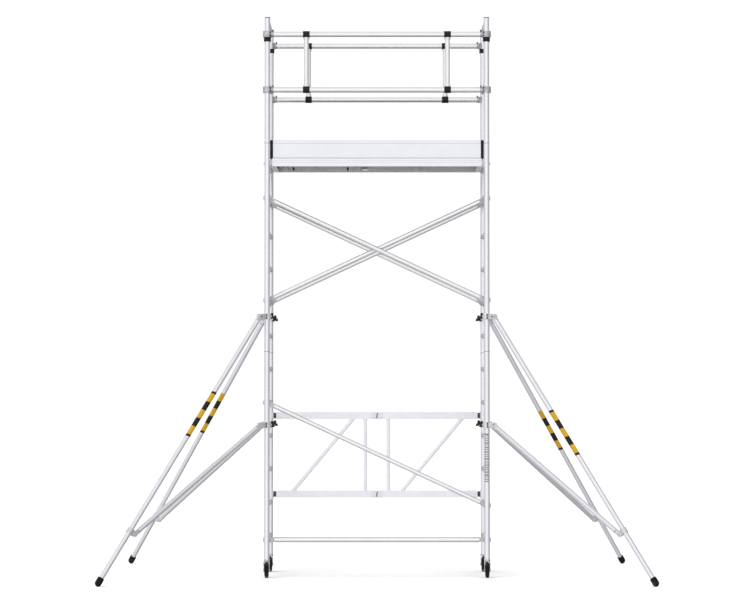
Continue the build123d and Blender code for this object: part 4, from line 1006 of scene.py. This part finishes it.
# ------------------------------------------------------------------ catches and plate under the deck
CATCH = [
    (-0.007, -0.015), (0.007, -0.015), (0.007, 0.010),
    (0.005, 0.013), (-0.005, 0.013), (-0.007, 0.010),
]
CATCHES_X = (-0.705, -0.246)
CATCH_Y = (0.2805, 0.272)
PLATE_X = -0.0985
PLATE_SLICES = ((0.2802, 1.0), (0.2770, 1.0), (0.2755, 0.88))
PLATE_SIDES = 28
PLATE_STRAIGHT = 0.010
PLATE_ROUND = (0.018, 0.0170)

bm = bmesh.new()
for x in CATCHES_X:
    skin(bm, [[Vector((x + h, y, DECK_GROOVE_Z + v)) for h, v in CATCH] for y in CATCH_Y])
finish_piece("deck_catches", bm, [paint["black_plastic"]], "tower")

outline = []
for k in range(PLATE_SIDES):
    a = 2 * pi * k / PLATE_SIDES
    end = 1 if cos(a) > 0 else -1
    outline.append((PLATE_STRAIGHT * end + PLATE_ROUND[0] * cos(a), PLATE_ROUND[1] * sin(a)))
bm = bmesh.new()
skin(bm, [
    [Vector((PLATE_X + h * grow, y, DECK_GROOVE_Z + v * grow)) for h, v in outline]
    for y, grow in PLATE_SLICES
])
finish_piece("deck_latch_plate", bm, [paint["zinc_steel"]], "tower")

# ------------------------------------------------------------------ floor
FLOOR_HALF = 120.0
FLOOR_DROP = 0.0002

bm = bmesh.new()
bmesh.ops.create_grid(bm, x_segments=8, y_segments=8, size=FLOOR_HALF)
floor_mesh = bpy.data.meshes.new("floor")
bm.to_mesh(floor_mesh)
bm.free()
floor = bpy.data.objects.new("floor", floor_mesh)
floor.location = (0, 0, -FLOOR_DROP)
scene.collection.objects.link(floor)
pale = Surface("floor_pale")
fleck = pale.blend(pale.noise(3.0), (0.845, 0.845, 0.850), (0.875, 0.875, 0.880))
floor_mesh.materials.append(pale.set(Base_Color=fleck, Roughness=0.9))
floor.visible_glossy = False

# ------------------------------------------------------------------ light
# The sky is brighter in front of the object, to its left and above it.
SKY_EVEN = 0.55
SKY_LEFT = 0.17
SKY_TOP = 0.16
SKY_FRONT = 0.55
SKY_REAR = 0.10
SKY_SEEN = 1.05

world = bpy.data.worlds.new("studio")
scene.world = world
world.use_nodes = True
air = Nodes(world.node_tree)
rightward, rearward, skyward = air.split(air.add("ShaderNodeTexCoord").outputs["Generated"])
front = air.calc("MAXIMUM", air.times(rearward, -1.0), 0.0)
rear = air.calc("MAXIMUM", rearward, 0.0)
shade = air.plus(SKY_EVEN, air.times(rightward, -SKY_LEFT))
shade = air.plus(shade, air.times(skyward, SKY_TOP))
shade = air.plus(shade, air.times(air.calc("POWER", front, 1.5), SKY_FRONT))
shade = air.plus(shade, air.times(air.calc("POWER", rear, 2.0), SKY_REAR))
camera_ray = air.add("ShaderNodeLightPath").outputs["Is Camera Ray"]
background = world.node_tree.nodes["Background"]
background.inputs["Color"].default_value = (1.0, 1.0, 1.0, 1.0)
world.node_tree.links.new(air.mix(camera_ray, shade, SKY_SEEN), background.inputs["Strength"])

sun = bpy.data.lights.new("key_soft", "SUN")
sun.energy = 2.4
sun.angle = radians(64)
key = bpy.data.objects.new("key_soft", sun)
key.rotation_euler = (radians(16), radians(-10), 0)
key.visible_glossy = False
scene.collection.objects.link(key)

# ------------------------------------------------------------------ camera at the photograph's view
camera_data = bpy.data.cameras.new("camera")
camera_data.lens = 127.155
camera_data.sensor_width = 36.0
camera_data.clip_end = 400.0
camera = bpy.data.objects.new("camera", camera_data)
camera.location = (-0.01575, -22.0658, 1.5137)
camera.rotation_euler = (radians(90 + 1.988), 0, 0)
scene.collection.objects.link(camera)
scene.camera = camera
scene.view_settings.view_transform = "Standard"
